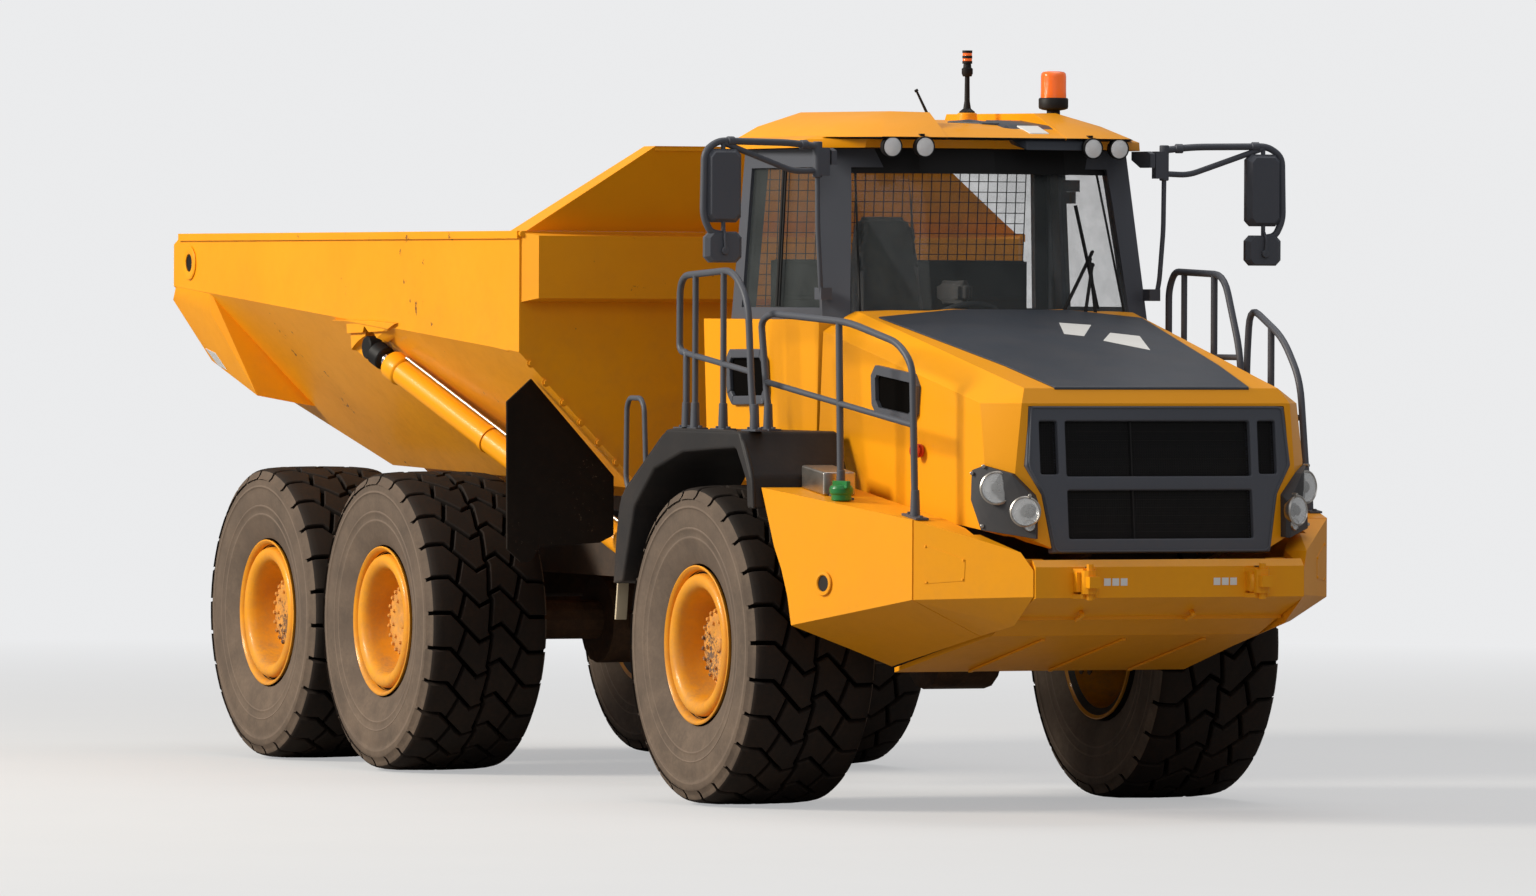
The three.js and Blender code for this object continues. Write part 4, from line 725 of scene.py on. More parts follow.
    GREEN = Coating("green_cap", (0.01, 0.2, 0.045), (0.008, 0.15, 0.03), 0.35, coat=0.3, dust_amount=0.2)
    CLOTH = Weave("seat_cloth", (0.055, 0.058, 0.068))
    MARKER = Coating("marker_strip", (0.7, 0.6, 0.42), (0.55, 0.46, 0.32), 0.5, dust_amount=0.3)
    GLASS = Pane("cab_glass", (0.13, 0.15, 0.15), 0.02, 0.12)
    LAMP_GLASS = Pane("lamp_glass", (0.85, 0.87, 0.88), 0.02, 0.25)
    AMBER = Lens("amber_lens", (0.95, 0.16, 0.012), 0.25)
    LAMP = Lens("lamp_reflector", (0.8, 0.81, 0.82), 0.06, 0.12, 160.0, 0.55)
    # Its small glow is a painted shine: the reflector is no lamp.
    REFLECTOR = Lens("white_reflector", (0.82, 0.84, 0.86), 0.05, 0.2, 220.0)

    @property
    def material(self) -> Material:
        """The finish's material, made the first time that it is asked for."""
        if self.name not in MATERIALS:
            MATERIALS[self.name] = self.value.build()
        return MATERIALS[self.name]


MATERIALS: dict[str, Material] = {}


def looks(*finishes: Finish) -> list[Material]:
    """The materials of some finishes."""
    return [finish.material for finish in finishes]


def repaint(node: str, finish: Finish) -> None:
    """Gives a frame node that stays a finish."""
    piece = frame["nodes"][node]
    piece.data.materials.clear()
    piece.data.materials.append(finish.material)


def grown(tree: NodeTree, base: Mesh | None = None, **values: object) -> Mesh:
    """Runs a Geometry Nodes tree and returns what it makes as a plain mesh.

    Args:
        tree: the tree.
        base: the mesh that it starts from, or None for an empty one.
        values: its inputs, by name with _ for a space.

    Returns:
        The mesh, with its instances made real.
    """
    holder = bpy.data.objects.new("holder", base or bpy.data.meshes.new("holder"))
    shown(holder)
    modifier = holder.modifiers.new("grow", "NODES")
    modifier.node_group = tree
    for item in tree.interface.items_tree:
        key = item.name.replace(" ", "_")
        if item.in_out == "INPUT" and key in values:
            modifier[item.identifier] = values[key]
    bpy.context.view_layer.update()
    graph = bpy.context.evaluated_depsgraph_get()
    mesh = bpy.data.meshes.new_from_object(holder.evaluated_get(graph), depsgraph=graph)
    bpy.data.objects.remove(holder)
    return mesh


def ring_tree() -> NodeTree:
    """Repeats an item round the Y axis. Its faces with the flank attribute take a second finish."""
    sheet, start, end = group_tree("ring_of_items", {"Item": (Socket.OBJECT, None), "Count": (Socket.WHOLE, 12),
        "Phase": (Socket.NUMBER, 0.0), "Finish": (Socket.MATERIAL, None), "Flank Finish": (Socket.MATERIAL, None)},
        {"Geometry": Socket.GEOMETRY}, "GeometryNodeTree")
    item = sheet.node("GeometryNodeObjectInfo", None, Object=start["Item"]).outputs["Geometry"]
    points = sheet.out("GeometryNodePoints", Count=start["Count"])
    index = sheet.out("GeometryNodeInputIndex")
    step = sheet.math("DIVIDE", math.tau, start["Count"])
    angle = sheet.math("ADD", sheet.math("MULTIPLY", index, step), start["Phase"])
    turn = sheet.out("ShaderNodeCombineXYZ", Y=angle)
    copies = sheet.out("GeometryNodeInstanceOnPoints", Points=points, Instance=item, Rotation=turn)
    real = sheet.out("GeometryNodeRealizeInstances", Geometry=copies)
    painted = sheet.out("GeometryNodeSetMaterial", Geometry=real, Material=start["Finish"])
    flank = sheet.node("GeometryNodeInputNamedAttribute", {"data_type": "BOOLEAN"}, Name="flank").outputs["Attribute"]
    done = sheet.out("GeometryNodeSetMaterial", Geometry=painted, Selection=flank, Material=start["Flank Finish"])
    sheet.link(done, end[0])
    return sheet.tree


def bolt_tree() -> NodeTree:
    """Puts a hexagon bolt with a washer on every point, standing along its facing attribute."""
    sheet, start, end = group_tree("bolts_on_points", {"Places": (Socket.GEOMETRY, None),
        "Radius": (Socket.NUMBER, 0.012), "Height": (Socket.NUMBER, 0.01), "Washer": (Socket.NUMBER, 1.6),
        "Finish": (Socket.MATERIAL, None)}, {"Geometry": Socket.GEOMETRY}, "GeometryNodeTree")
    height, radius = start["Height"], start["Radius"]
    thin = sheet.math("MULTIPLY", height, 0.3)
    head = sheet.out("GeometryNodeMeshCylinder", Vertices=6, Radius=radius, Depth=height)
    lifted = sheet.out("GeometryNodeTransform", Geometry=head, Translation=sheet.out("ShaderNodeCombineXYZ",
        Z=sheet.math("MULTIPLY", height, 0.5)))
    washer = sheet.out("GeometryNodeMeshCylinder", Vertices=14, Depth=thin, Radius=sheet.math("MULTIPLY", radius,
        start["Washer"]))
    bolt = sheet.node("GeometryNodeJoinGeometry")
    sheet.link(lifted, bolt.inputs[0])
    sheet.link(washer, bolt.inputs[0])
    facing = sheet.node("GeometryNodeInputNamedAttribute", {"data_type": "FLOAT_VECTOR"},
        Name="facing").outputs["Attribute"]
    turn = sheet.node("FunctionNodeAlignRotationToVector", {"axis": "Z"}, Vector=facing).outputs[0]
    copies = sheet.out("GeometryNodeInstanceOnPoints", Points=start["Places"], Instance=bolt.outputs[0], Rotation=turn)
    real = sheet.out("GeometryNodeRealizeInstances", Geometry=copies)
    done = sheet.out("GeometryNodeSetMaterial", Geometry=real, Material=start["Finish"])
    sheet.link(done, end[0])
    return sheet.tree


def lattice_tree() -> NodeTree:
    """A flat screen of crossing bars in the YZ plane, centred on the origin."""
    sheet, start, end = group_tree("lattice", {"Width": (Socket.NUMBER, 1.0), "Height": (Socket.NUMBER, 0.3),
        "Pitch": (Socket.NUMBER, 0.02), "Wire": (Socket.NUMBER, 0.003), "Finish": (Socket.MATERIAL, None)},
        {"Geometry": Socket.GEOMETRY}, "GeometryNodeTree")
    both = sheet.node("GeometryNodeJoinGeometry")
    for along, across, way in (("Width", "Height", "Y"), ("Height", "Width", "Z")):
        count = sheet.math("FLOOR", sheet.math("ADD", sheet.math("DIVIDE", start[along], start["Pitch"]), 1.0))
        gap = sheet.math("DIVIDE", start[along], sheet.math("SUBTRACT", count, 1.0))
        half = sheet.math("MULTIPLY", start[along], -0.5)
        line = sheet.out("GeometryNodeMeshLine", Count=count, Start_Location=sheet.out("ShaderNodeCombineXYZ",
            **{way: half}), Offset=sheet.out("ShaderNodeCombineXYZ", **{way: gap}))
        other = "Z" if way == "Y" else "Y"
        size = sheet.out("ShaderNodeCombineXYZ", X=start["Wire"], **{way: start["Wire"], other: start[across]})
        bar = sheet.out("GeometryNodeMeshCube", Size=size)
        copies = sheet.out("GeometryNodeInstanceOnPoints", Points=line, Instance=bar)
        sheet.link(copies, both.inputs[0])
    real = sheet.out("GeometryNodeRealizeInstances", Geometry=both.outputs[0])
    done = sheet.out("GeometryNodeSetMaterial", Geometry=real, Material=start["Finish"])
    sheet.link(done, end[0])
    return sheet.tree


TREES = {"ring": ring_tree(), "bolts": bolt_tree(), "lattice": lattice_tree()}


def bolts(name: str, places: Sequence[tuple[Sequence[float], Sequence[float]]], radius: float, height: float,
        finish: Finish, body: str, slot: str, washer: float = 1.6) -> Object:
    """A piece of many bolts.

    Args:
        name: the piece's name.
        places: each bolt's foot, from the front axle, and the way that it points.
        radius: across the head's corners, halved.
        height: how far the head stands.
        finish: their finish.
        body: the body that they ride on.
        slot: the record's material slot.
        washer: the washer's radius, in head radii.

    Returns:
        The piece.
    """
    base = bpy.data.meshes.new("bolt_places")
    base.from_pydata([place(p) for p, _ in places], [], [])
    facing = base.attributes.new("facing", "FLOAT_VECTOR", "POINT")
    facing.data.foreach_set("vector", [c for _, way in places for c in Vector(way).normalized()])
    mesh = grown(TREES["bolts"], base, Radius=radius, Height=height, Washer=washer, Finish=finish.material)
    return settle(dressed(name, mesh, []), body, slot)


def lattice(name: str, width: float, height: float, pitch: float, wire: float, finish: Finish,
        matrix: Matrix) -> Object:
    """A screen of crossing bars, put in place from the front axle by a matrix."""
    mesh = grown(TREES["lattice"], Width=width, Height=height, Pitch=pitch, Wire=wire, Finish=finish.material)
    mesh.transform(Matrix.Translation((FRONT_AXLE, 0, 0)) @ matrix)
    return dressed(name, mesh, [])


def interpolated(line: Outline, at: float) -> Vector:
    """The point of a line of (width, radius) pairs at a distance along it, going on past its end."""
    left = at
    for (a0, b0), (a1, b1) in zip(line, line[1:]):
        span = math.hypot(a1 - a0, b1 - b0)
        if left <= span or (a1, b1) == line[-1]:
            return Vector((a0, b0)).lerp(Vector((a1, b1)), left / span)
        left -= span
    return Vector(line[-1])


def inset(outline: Outline, gap: float) -> list[tuple[float, float]]:
    """A flat outline with every edge moved inwards by a gap."""
    count = len(outline)
    area = sum(a0 * b1 - a1 * b0 for (a0, b0), (a1, b1) in zip(outline, [*outline[1:], outline[0]]))
    points = [Vector(p) for p in outline]
    shifted = []
    for i in range(count):
        way = (points[(i + 1) % count] - points[i]).normalized()
        inward = Vector((-way.y, way.x)) * math.copysign(gap, area)
        shifted.append((points[i] + inward, way))
    corners = []
    for (a, u), (b, v) in zip([shifted[-1], *shifted[:-1]], shifted):
        reach = (b - a).cross(v) / u.cross(v)
        corners.append(tuple(a + u * reach))
    return corners


@dataclass
class TyrePattern:
    """The tyre that all six wheels share: a ringed carcass and a block tread, round the Y axis."""

    lugs: int = 26
    groove: float = 0.0225
    chamfer: float = 0.0045
    crown: Outline = ((0, 0.8035), (0.2, 0.8005), (0.275, 0.7945), (0.308, 0.788), (0.322, 0.777), (0.331, 0.75),
        (0.334, 0.736))
    ground: Outline = ((0, 0.764), (0.2, 0.761), (0.262, 0.756), (0.29, 0.751), (0.308, 0.747), (0.32, 0.744))
    cuts: tuple[float, ...] = (0.1, 0.2, 0.275, 0.309, 0.327)
    sidewall: Outline = ((0.33, 0.7425), (0.335, 0.738), (0.34, 0.72), (0.343, 0.7), (0.344, 0.69), (0.34, 0.6845),
        (0.3385, 0.678), (0.34, 0.66), (0.341, 0.636), (0.3405, 0.61), (0.3385, 0.592), (0.3412, 0.588),
        (0.3405, 0.582), (0.3365, 0.576), (0.335, 0.556), (0.3335, 0.546), (0.3356, 0.542), (0.3345, 0.536),
        (0.3285, 0.52), (0.321, 0.49), (0.311, 0.458), (0.299, 0.428), (0.289, 0.409), (0.24, 0.4))
    rings: tuple[float, ...] = (0.695, 0.588, 0.542)
    elbow: tuple[float, float] = (-0.085, -0.14)
    tip: tuple[float, float] = (-0.16, -0.062)
    heart: tuple[float, float] = (-0.125, 0.008)
    turnover: float = -0.22
    turns: int = 104

    @property
    def pitch(self) -> float:
        """Length of one lug and its groove round the crown."""
        return math.tau * self.crown[0][1] / self.lugs

    def blocks(self) -> list[list[tuple[float, float]]]:
        """Outlines of one pitch's four blocks, as (along, across) lengths. The grooves zigzag between them."""
        p = self.pitch
        foot = (-p - 0.0385, -0.185)
        lug = [(0, -0.362), (0, -0.225), self.elbow, foot, (-p, -0.225), (-p, -0.362)]
        inner = [self.elbow, self.tip, self.heart, (self.turnover - self.heart[0] - p, -self.heart[1]),
            (self.heart[0] - p, self.heart[1]), (self.tip[0] - p, self.tip[1]), foot]
        near = [inset(outline, self.groove / 2) for outline in (lug, inner)]
        return near + [[(self.turnover - s, -t) for s, t in outline] for outline in near]

    def wrapped(self, along: float, across: float, height: float) -> Vector:
        """A point of the flat tread, wrapped round the wheel. Height 0 is on the carcass and 1 on the crown."""
        low, high = interpolated(self.ground, abs(across) * 0.985), interpolated(self.crown, abs(across))
        spot = low.lerp(high, height)
        angle = along / self.crown[0][1]
        return Vector((spot.y * math.sin(angle), math.copysign(spot.x, across), spot.y * math.cos(angle)))

    def pitch_item(self) -> Object:
        """One pitch of the tread as a hidden object, with its outer faces marked as flank."""
        whole = bmesh.new()
        for outline in self.blocks():
            made = bmesh.new()
            base = [made.verts.new((s, t, -0.25)) for s, t in outline]
            top = [made.verts.new((s, t, 1.0)) for s, t in outline]
            made.faces.new(base)
            cap = made.faces.new(top)
            for i in range(len(outline)):
                j = (i + 1) % len(outline)
                made.faces.new([base[i], base[j], top[j], top[i]])
            bmesh.ops.recalc_face_normals(made, faces=made.faces)
            made.transform(Matrix.Diagonal((1, 1, 0.034, 1)))
            bmesh.ops.bevel(made, geom=list(cap.edges), offset=self.chamfer, segments=1, affect="EDGES")
            made.transform(Matrix.Diagonal((1, 1, 1 / 0.034, 1)))
            steps = [(Vector((0, side * c, 0)), Vector((0, 1, 0))) for c in self.cuts for side in (-1, 1)]
            steps += [(Vector((self.pitch * k / 3, 0, 0)), Vector((1, 0, 0))) for k in range(-6, 4)]
            for spot, way in steps:
                bmesh.ops.bisect_plane(made, geom=made.verts[:] + made.edges[:] + made.faces[:], plane_co=spot,
                    plane_no=way)
            for v in made.verts:
                v.co = self.wrapped(v.co.x, v.co.y, v.co.z)
            bmesh.ops.recalc_face_normals(made, faces=made.faces)
            scratch = poured(made)
            whole.from_mesh(scratch)
            bpy.data.meshes.remove(scratch)
        mark = whole.faces.layers.bool.new("flank")
        for face in whole.faces:
            centre = face.calc_center_median()
            face[mark] = abs(face.normal.y) > 0.62 and abs(centre.y) > 0.318
        mesh = poured(whole, "tread_pitch")
        return bpy.data.objects.new("tread_pitch", mesh)

    def mesh(self) -> Mesh:
        """The whole tyre round the Y axis at the origin."""
        item = self.pitch_item()
        tread = grown(TREES["ring"], Item=item, Count=self.lugs, Finish=Finish.TREAD.material,
            Flank_Finish=Finish.SIDEWALL.material)
        bpy.data.objects.remove(item)
        half = [(w, r) for w, r in self.ground[:-1]] + list(self.sidewall)
        profile = [(r, w) for w, r in half] + [(r, -w) for w, r in reversed(half[1:])]
        shape = Shape()
        shape.lathe(profile + [profile[0]], (0, 0, 0), Vector((0, 1, 0)), self.turns)
        for face in shape.bm.faces:
            spot = face.calc_center_median()
            radius = math.hypot(spot.x, spot.z)
            # Faces near the ridge radii take the lighter ring finish: painted highlight on the ridges.
            ring = any(abs(radius - edge) < 0.0045 for edge in self.rings)
            # Index 2, past the shoulder radius, shows between the lugs: painted shade on the groove bottoms.
            face.material_index = 2 if radius > 0.738 else 3 if ring else 1
        carcass = poured(shape.bm, "carcass")
        both = bmesh.new()
        both.from_mesh(tread)
        flank = [slot == Finish.SIDEWALL.material for slot in tread.materials]
        for face in both.faces:
            face.material_index = int(flank[face.material_index])
        both.from_mesh(carcass)
        whole = poured(both, "tyre")
        bpy.data.meshes.remove(carcass)
        bpy.data.meshes.remove(tread)
        return whole


@dataclass
class RimPattern:
    """The deep rim that all six wheels share, round the Y axis with its outer face towards +Y."""

    barrel: Outline = ((0.369, -0.3), (0.396, -0.312), (0.399, -0.326), (0.392, -0.33), (0.378, -0.318), (0.342, -0.3),
        (0.335, -0.2), (0.28, 0.02), (0.24, 0.086), (0.06, 0.092), (0.0, 0.092))
    face: Outline = ((0.0, 0.19), (0.034, 0.19), (0.04, 0.187), (0.044, 0.181), (0.096, 0.179), (0.104, 0.184),
        (0.15, 0.184), (0.18, 0.181), (0.19, 0.172), (0.194, 0.13), (0.2, 0.116), (0.232, 0.112), (0.252, 0.124),
        (0.264, 0.16), (0.271, 0.21), (0.276, 0.248), (0.282, 0.272), (0.292, 0.289), (0.306, 0.3), (0.324, 0.305),
        (0.34, 0.302), (0.352, 0.293), (0.3575, 0.28), (0.36, 0.262), (0.3625, 0.246), (0.371, 0.246), (0.3735, 0.27),
        (0.3765, 0.288), (0.384, 0.3), (0.394, 0.307), (0.401, 0.304), (0.4, 0.296), (0.389, 0.28), (0.37, 0.258))
    bolt_ring: float = 0.172
    bolt_count: int = 20
    nut_ring: float = 0.118
    nut_count: int = 10
    turns: int = 88

    def mesh(self) -> Mesh:
        """The rim with its bolts."""
        shape = Shape()
        shape.lathe(list(self.face) + list(self.barrel), (0, 0, 0), Vector((0, 1, 0)), self.turns)
        for face in shape.bm.faces:
            spot = face.calc_center_median()
            radius = math.hypot(spot.x, spot.z)
            # Faces of the narrow gap ring between lip and flange take black: painted shade in the gap.
            face.material_index = 1 if radius < 0.197 and spot.y > 0.1 else 2 if 0.359 < radius < 0.374 else 0
        plain = poured(shape.bm, "rim")
        whole = bmesh.new()
        whole.from_mesh(plain)
        for radius, count, size, level in ((self.bolt_ring, self.bolt_count, 0.0125, 0.18),
                (self.nut_ring, self.nut_count, 0.0105, 0.182)):
            item = self.bolt_item(radius, size, level)
            ring = grown(TREES["ring"], Item=item, Count=count, Phase=0.07, Finish=Finish.HUB_DUSTY.material,
                Flank_Finish=Finish.HUB_DUSTY.material)
            bpy.data.objects.remove(item)
            first = len(whole.faces)
            whole.from_mesh(ring)
            whole.faces.ensure_lookup_table()
            for face in whole.faces[first:]:
                face.material_index = 1
            bpy.data.meshes.remove(ring)
        whole.to_mesh(plain)
        whole.free()
        return plain

    @staticmethod
    def bolt_item(radius: float, size: float, level: float) -> Object:
        """A bolt on the hub's face, as a hidden object."""
        shape = Shape()
        shape.rod((0, level, radius), (0, level + size * 1.2, radius), size, size * 0.9, 6, 0.2)
        mesh = poured(shape.bm, "hub_bolt")
        return bpy.data.objects.new("hub_bolt", mesh)


@dataclass
class Wheels:
    """All six wheels."""

    tyre: TyrePattern = field(default_factory=TyrePattern)
    rim: RimPattern = field(default_factory=RimPattern)
    phases: tuple[float, ...] = (0.03, 0.11, 0.19, 0.07, 0.15, 0.22)

    def build(self) -> None:
        """Makes a tyre and a rim on every wheel's axle."""
        centres = {joint["child"]: Vector(joint["pos_m"]) for joint in frame["joints"] if joint.get("continuous")}
        tyre, rim = self.tyre.mesh(), self.rim.mesh()
        phases = iter(self.phases)
        for body, centre in centres.items():
            position, _, side = body.partition("_wheel_")
            turn = Matrix.Rotation(next(phases), 4, "Y")
            flip = Matrix.Scale(SIDES[side], 4, Vector((0, 1, 0)))
            matrix = Matrix.Translation(centre) @ flip @ turn
            self.put(f"{position}_tyre_{side}", tyre, matrix, looks(Finish.TREAD, Finish.SIDEWALL, Finish.PAINTED_SHADE_BLACK,
                Finish.SIDEWALL_RING), body, "tyre_rubber")
            self.put(f"{position}_rim_{side}", rim, matrix, looks(Finish.RIM_YELLOW, Finish.HUB_DUSTY, Finish.BLACK),
                body, "yellow_paint")

    @staticmethod
    def put(node: str, pattern: Mesh, matrix: Matrix, finishes: Sequence[Material], body: str, slot: str) -> None:
        """Puts a copy of a pattern on a wheel's axle, in place of its frame node."""
        mesh = pattern.copy()
        mesh.transform(matrix)
        if matrix.determinant() < 0:
            mesh.flip_normals()
        settle(dressed(f"{node}_finished", mesh, finishes), body, slot, node)


def patch(node: str, facing: Point, plane: Plane, outline: Outline, thickness: float, lift: float = 0.0) -> Shape:
    """A plate that follows a frame node's outer surface inside a convex outline.

    Args:
        node: the frame node that it lies on.
        facing: the side that it is seen from.
        plane: the plane of the outline.
        outline: its corners, measured from the front axle.
        thickness: how thick it is.
        lift: gap under it.

    Returns:
        The plate as a shape.
    """
    way = Vector(facing).normalized()
    made = frame_copy(node)
    made.normal_update()
    bmesh.ops.triangulate(made, faces=made.faces)
    tree = BVHTree.FromBMesh(made)
    hidden = [f for f in made.faces if f.normal.dot(way) < 0.3 or tree.ray_cast(f.calc_center_median() + way * 0.004,
        way)[0] is not None]
    bmesh.ops.delete(made, geom=hidden, context="FACES")
    centre = [sum(c) / len(outline) for c in zip(*outline)]
    middle = Vector(plane.lay(centre[0], centre[1], 0))
    depth = Vector(plane.lay(0, 0, 1))
    for (a0, b0), (a1, b1) in zip(outline, list(outline[1:]) + [outline[0]]):
        start, end = Vector(plane.lay(a0, b0, 0)), Vector(plane.lay(a1, b1, 0))
        normal = (end - start).cross(depth).normalized()
        if normal.dot(middle - start) > 0:
            normal.negate()
        bmesh.ops.bisect_plane(made, geom=made.verts[:] + made.edges[:] + made.faces[:], plane_co=start,
            plane_no=normal, clear_outer=True)
    bmesh.ops.dissolve_limit(made, angle_limit=math.radians(1), verts=made.verts, edges=made.edges)
    bmesh.ops.translate(made, verts=made.verts, vec=way * lift)
    faces, rim = list(made.faces), [e for e in made.edges if e.is_boundary]
    over = {v: made.verts.new(v.co + way * thickness) for v in list(made.verts)}
    for face in faces:
        made.faces.new([over[v] for v in face.verts])
    for edge in rim:
        loop = edge.link_loops[0]
        a, b = loop.vert, loop.link_loop_next.vert
        made.faces.new([a, b, over[b], over[a]])
    for face in faces:
        face.normal_flip()
    bmesh.ops.recalc_face_normals(made, faces=made.faces)
    return Shape().absorb(made)


def both_sides(build: Callable[[str, int], None]) -> None:
    """Runs a method for the left and the right side."""
    for name, side in SIDES.items():
        build(name, side)


@dataclass
class TippingBody:
    """The tipping body with its guard, flaps and cylinders."""

    half: float = 1.45
    front: float = -2.25
    floor: float = 1.545
    floor_half: float = 0.72
    ramp: float = -5.88
    band_foot: float = 2.4
    eye: Point = (-6.979, 1.45, 2.726)
    bolt_line: tuple[Point, Point] = ((-2.244, 1.3, 2.1), (-2.244, 0.8, 1.58))
    bracket: Outline = ((-4.834, 2.42), (-4.3, 2.42), (-3.905, 2.405), (-4.05, 2.365), (-4.62, 2.35))
    flap: Outline = ((1.462, 2.0), (1.324, 2.12), (1.18, 1.965), (0.852, 1.61), (0.852, 1.3), (0.93, 1.262),
        (1.27, 1.241), (1.31, 1.18), (1.34, 1.164), (1.38, 1.163), (1.458, 1.232))
    flap_x: float = -2.4
    lower_pin: Point = (-1.99, 0.64, 1.04)
    upper_pin: Point = (-4.32, 1.44, 2.27)

    def build(self) -> None:
        """Makes all of it."""
        shell = frame_copy("tipping_body")
        self.tree = BVHTree.FromBMesh(shell)
        shell.free()
        piece = softened("tipping_body", "body_shell", looks(Finish.BODY_YELLOW, Finish.BODY_INSIDE), 0.008,
            self.side_of)
        settle(piece, "tipping_body", "yellow_paint", "tipping_body")
        piece = softened("body_guard", "guard_plate", looks(Finish.BODY_YELLOW), 0.006)
        settle(piece, "tipping_body", "yellow_paint", "body_guard")
        both_sides(self.trim)
        both_sides(self.mud_flap)
        both_sides(self.cylinder)
        self.fasteners()

    def side_of(self, face: BMFace) -> int:
        """The finish of a face: 1 on the inside of the body."""
        spot = face.calc_center_median()
        inward = face.normal.dot(Vector((-4.6, 0, 3.6)) - spot) > 0.05
        room = self.floor_half + max(0.0, spot.z - self.floor) * (self.half - self.floor_half) / (self.band_foot
            - self.floor)
        level = self.floor + max(0.0, self.ramp - spot.x) * 0.3585
        inside = abs(spot.y) < min(room, self.half) - 0.012 and -7.2 < spot.x < self.front and spot.z > level
        flat_top = face.normal.z > 0.9 and spot.z > 2.8
        open_above = self.tree.ray_cast(spot + face.normal * 0.01, Vector((0, 0, 1)))[0] is None
        return int(inward and inside and open_above and not flat_top)

    def trim(self, name: str, side: int) -> None:
        """Lifting eye, tail reflector, stiffeners and cylinder bracket plates of one side."""
        out = Vector((0, side, 0))
        x, y, z = self.eye
        mount = Shape()
        mount.absorb(patch("tipping_body", (0, side, -0.3), Plane.SIDE, self.bracket, 0.022).bm)
        settle(mount.to_object(f"cylinder_bracket_{name}", looks(Finish.BODY_YELLOW), 0.004), "tipping_body",
            "yellow_paint")
        ring = Shape()
        ring.lathe([(0.05, 0.001), (0.092, 0.001), (0.096, 0.006), (0.092, 0.0105), (0.056, 0.012), (0.05, 0.008),
            (0.05, 0.001)], (x, side * y, z), out, 40)
        # The black disc inside the eye ring is painted shade for the eye's hole.
        ring.finish = 1
        ring.lathe([(0, 0.0), (0.05, 0.0), (0.05, 0.0015), (0, 0.0015)], (x, side * (y + 0.0012), z), out, 32)
        ring.finish = 0
        for a, b in (((-3.4, 2.325), (-2.4, 2.235)), ((-5.9, 2.5), (-5.0, 2.46))):
            ring.rod((a[0], side * (y - 0.012), a[1] + 0.035), (b[0], side * (y - 0.012), b[1] + 0.035), 0.012)
        ring.rod((-7.0, side * (y - 0.01), 2.874), (self.front + 0.02, side * (y - 0.01), 2.874), 0.0165)
        settle(ring.to_object(f"body_trim_{name}", looks(Finish.BODY_YELLOW, Finish.BLACK)), "tipping_body",
            "yellow_paint")
        plate = Shape()
        plate.absorb(patch("tipping_body", (0, side, 0), Plane.SIDE, [(-7.09, 2.25), (-6.92, 2.225), (-6.86, 2.13),
            (-7.0, 2.15)], 0.004).bm)
        settle(plate.to_object(f"tail_reflector_{name}", looks(Finish.REFLECTOR), 0.002), "tipping_body",
            "yellow_paint")

    def mud_flap(self, name: str, side: int) -> None:
        """The rubber flap under the front wall."""
        outline = [(side * y, z) for y, z in self.flap]
        sheet = Shape()
        sheet.prism(outline, Plane.FRONT, self.flap_x + 0.003, self.flap_x + 0.021)
        piece = sheet.to_object(f"flap_{name}", looks(Finish.SHEET_RUBBER), 0.004)
        settle(piece, "tipping_body", "black_rubber", f"mud_flap_{name}")

    def fasteners(self) -> None:
        """Bolts along the front wall's slanted edges."""
        places = []
        for side in SIDES.values():
            start, end = (Vector((x, side * y, z)) for x, y, z in self.bolt_line)
            places += [(start.lerp(end, k / 5), (1, 0, 0)) for k in range(6)]
            places.append(((self.front + 0.004, side * 1.385, 2.2), (1, 0, 0)))
        bolts("body_bolts", places, 0.014, 0.011, Finish.BODY_YELLOW, "tipping_body", "yellow_paint")

    def cylinder(self, name: str, side: int) -> None:
        """A tipping cylinder with its pipe, gland, clevis and pins."""
        foot, top = (Vector((x, side * y, z)) for x, y, z in (self.lower_pin, self.upper_pin))
        way = (top - foot).normalized()
        over = way.cross(Vector((0, 0, 1))).cross(way).normalized()
        barrel = Shape()
        barrel.lathe([(0, 0.1), (0.058, 0.1), (0.07, 0.112), (0.07, 2.455), (0.078, 2.462), (0.081, 2.47),
            (0.081, 2.545), (0.076, 2.556), (0.047, 2.556), (0.047, 0.2), (0, 0.2)], foot, way, 40)
        barrel.rod(foot, foot + way * 0.14, 0.043)
        barrel.lathe([(0.02, -0.046), (0.062, -0.046), (0.065, -0.042), (0.065, 0.042), (0.062, 0.046), (0.02, 0.046),
            (0.02, -0.046)], foot, Vector((0, 0, 1)), 32)
        barrel.finish = 1
        line = foot + over * 0.083
        barrel.tube([line + way * 0.2 - over * 0.02, line + way * 0.26, line + way * 2.36, line + way * 2.47, line
            + way * 2.47 - over * 0.015], 0.0095, 0.03, 12)
        barrel.finish = 0
        barrel.lathe([(0.0705, -0.014), (0.0775, -0.014), (0.0775, 0.014), (0.0705, 0.014), (0.0705, -0.014)], foot
            + way * 1.68, way, 32)
        settle(barrel.to_object(f"tipping_barrel_{name}", looks(Finish.YELLOW, Finish.STEEL)), f"tip_barrel_{name}",
            "yellow_paint", f"tip_barrel_{name}")
        rod = Shape()
        rod.rod(top - way * 2.55, top - way * 0.05, 0.0415, None, 32, 0.08)
        rod.finish = 1
        rod.lathe([(0, -0.135), (0.06, -0.135), (0.066, -0.128), (0.066, -0.06), (0, -0.06)], top, way, 32)
        rod.lathe([(0, -0.05), (0.052, -0.05), (0.0615, -0.042), (0.0615, 0.021), (0.055, 0.029), (0, 0.029)], top,
            Vector((0, side, 0)), 40)
        settle(rod.to_object(f"tipping_rod_{name}", looks(Finish.CHROME, Finish.BLACK)), f"tip_rod_{name}",
            "rod_chrome", f"tip_rod_{name}")


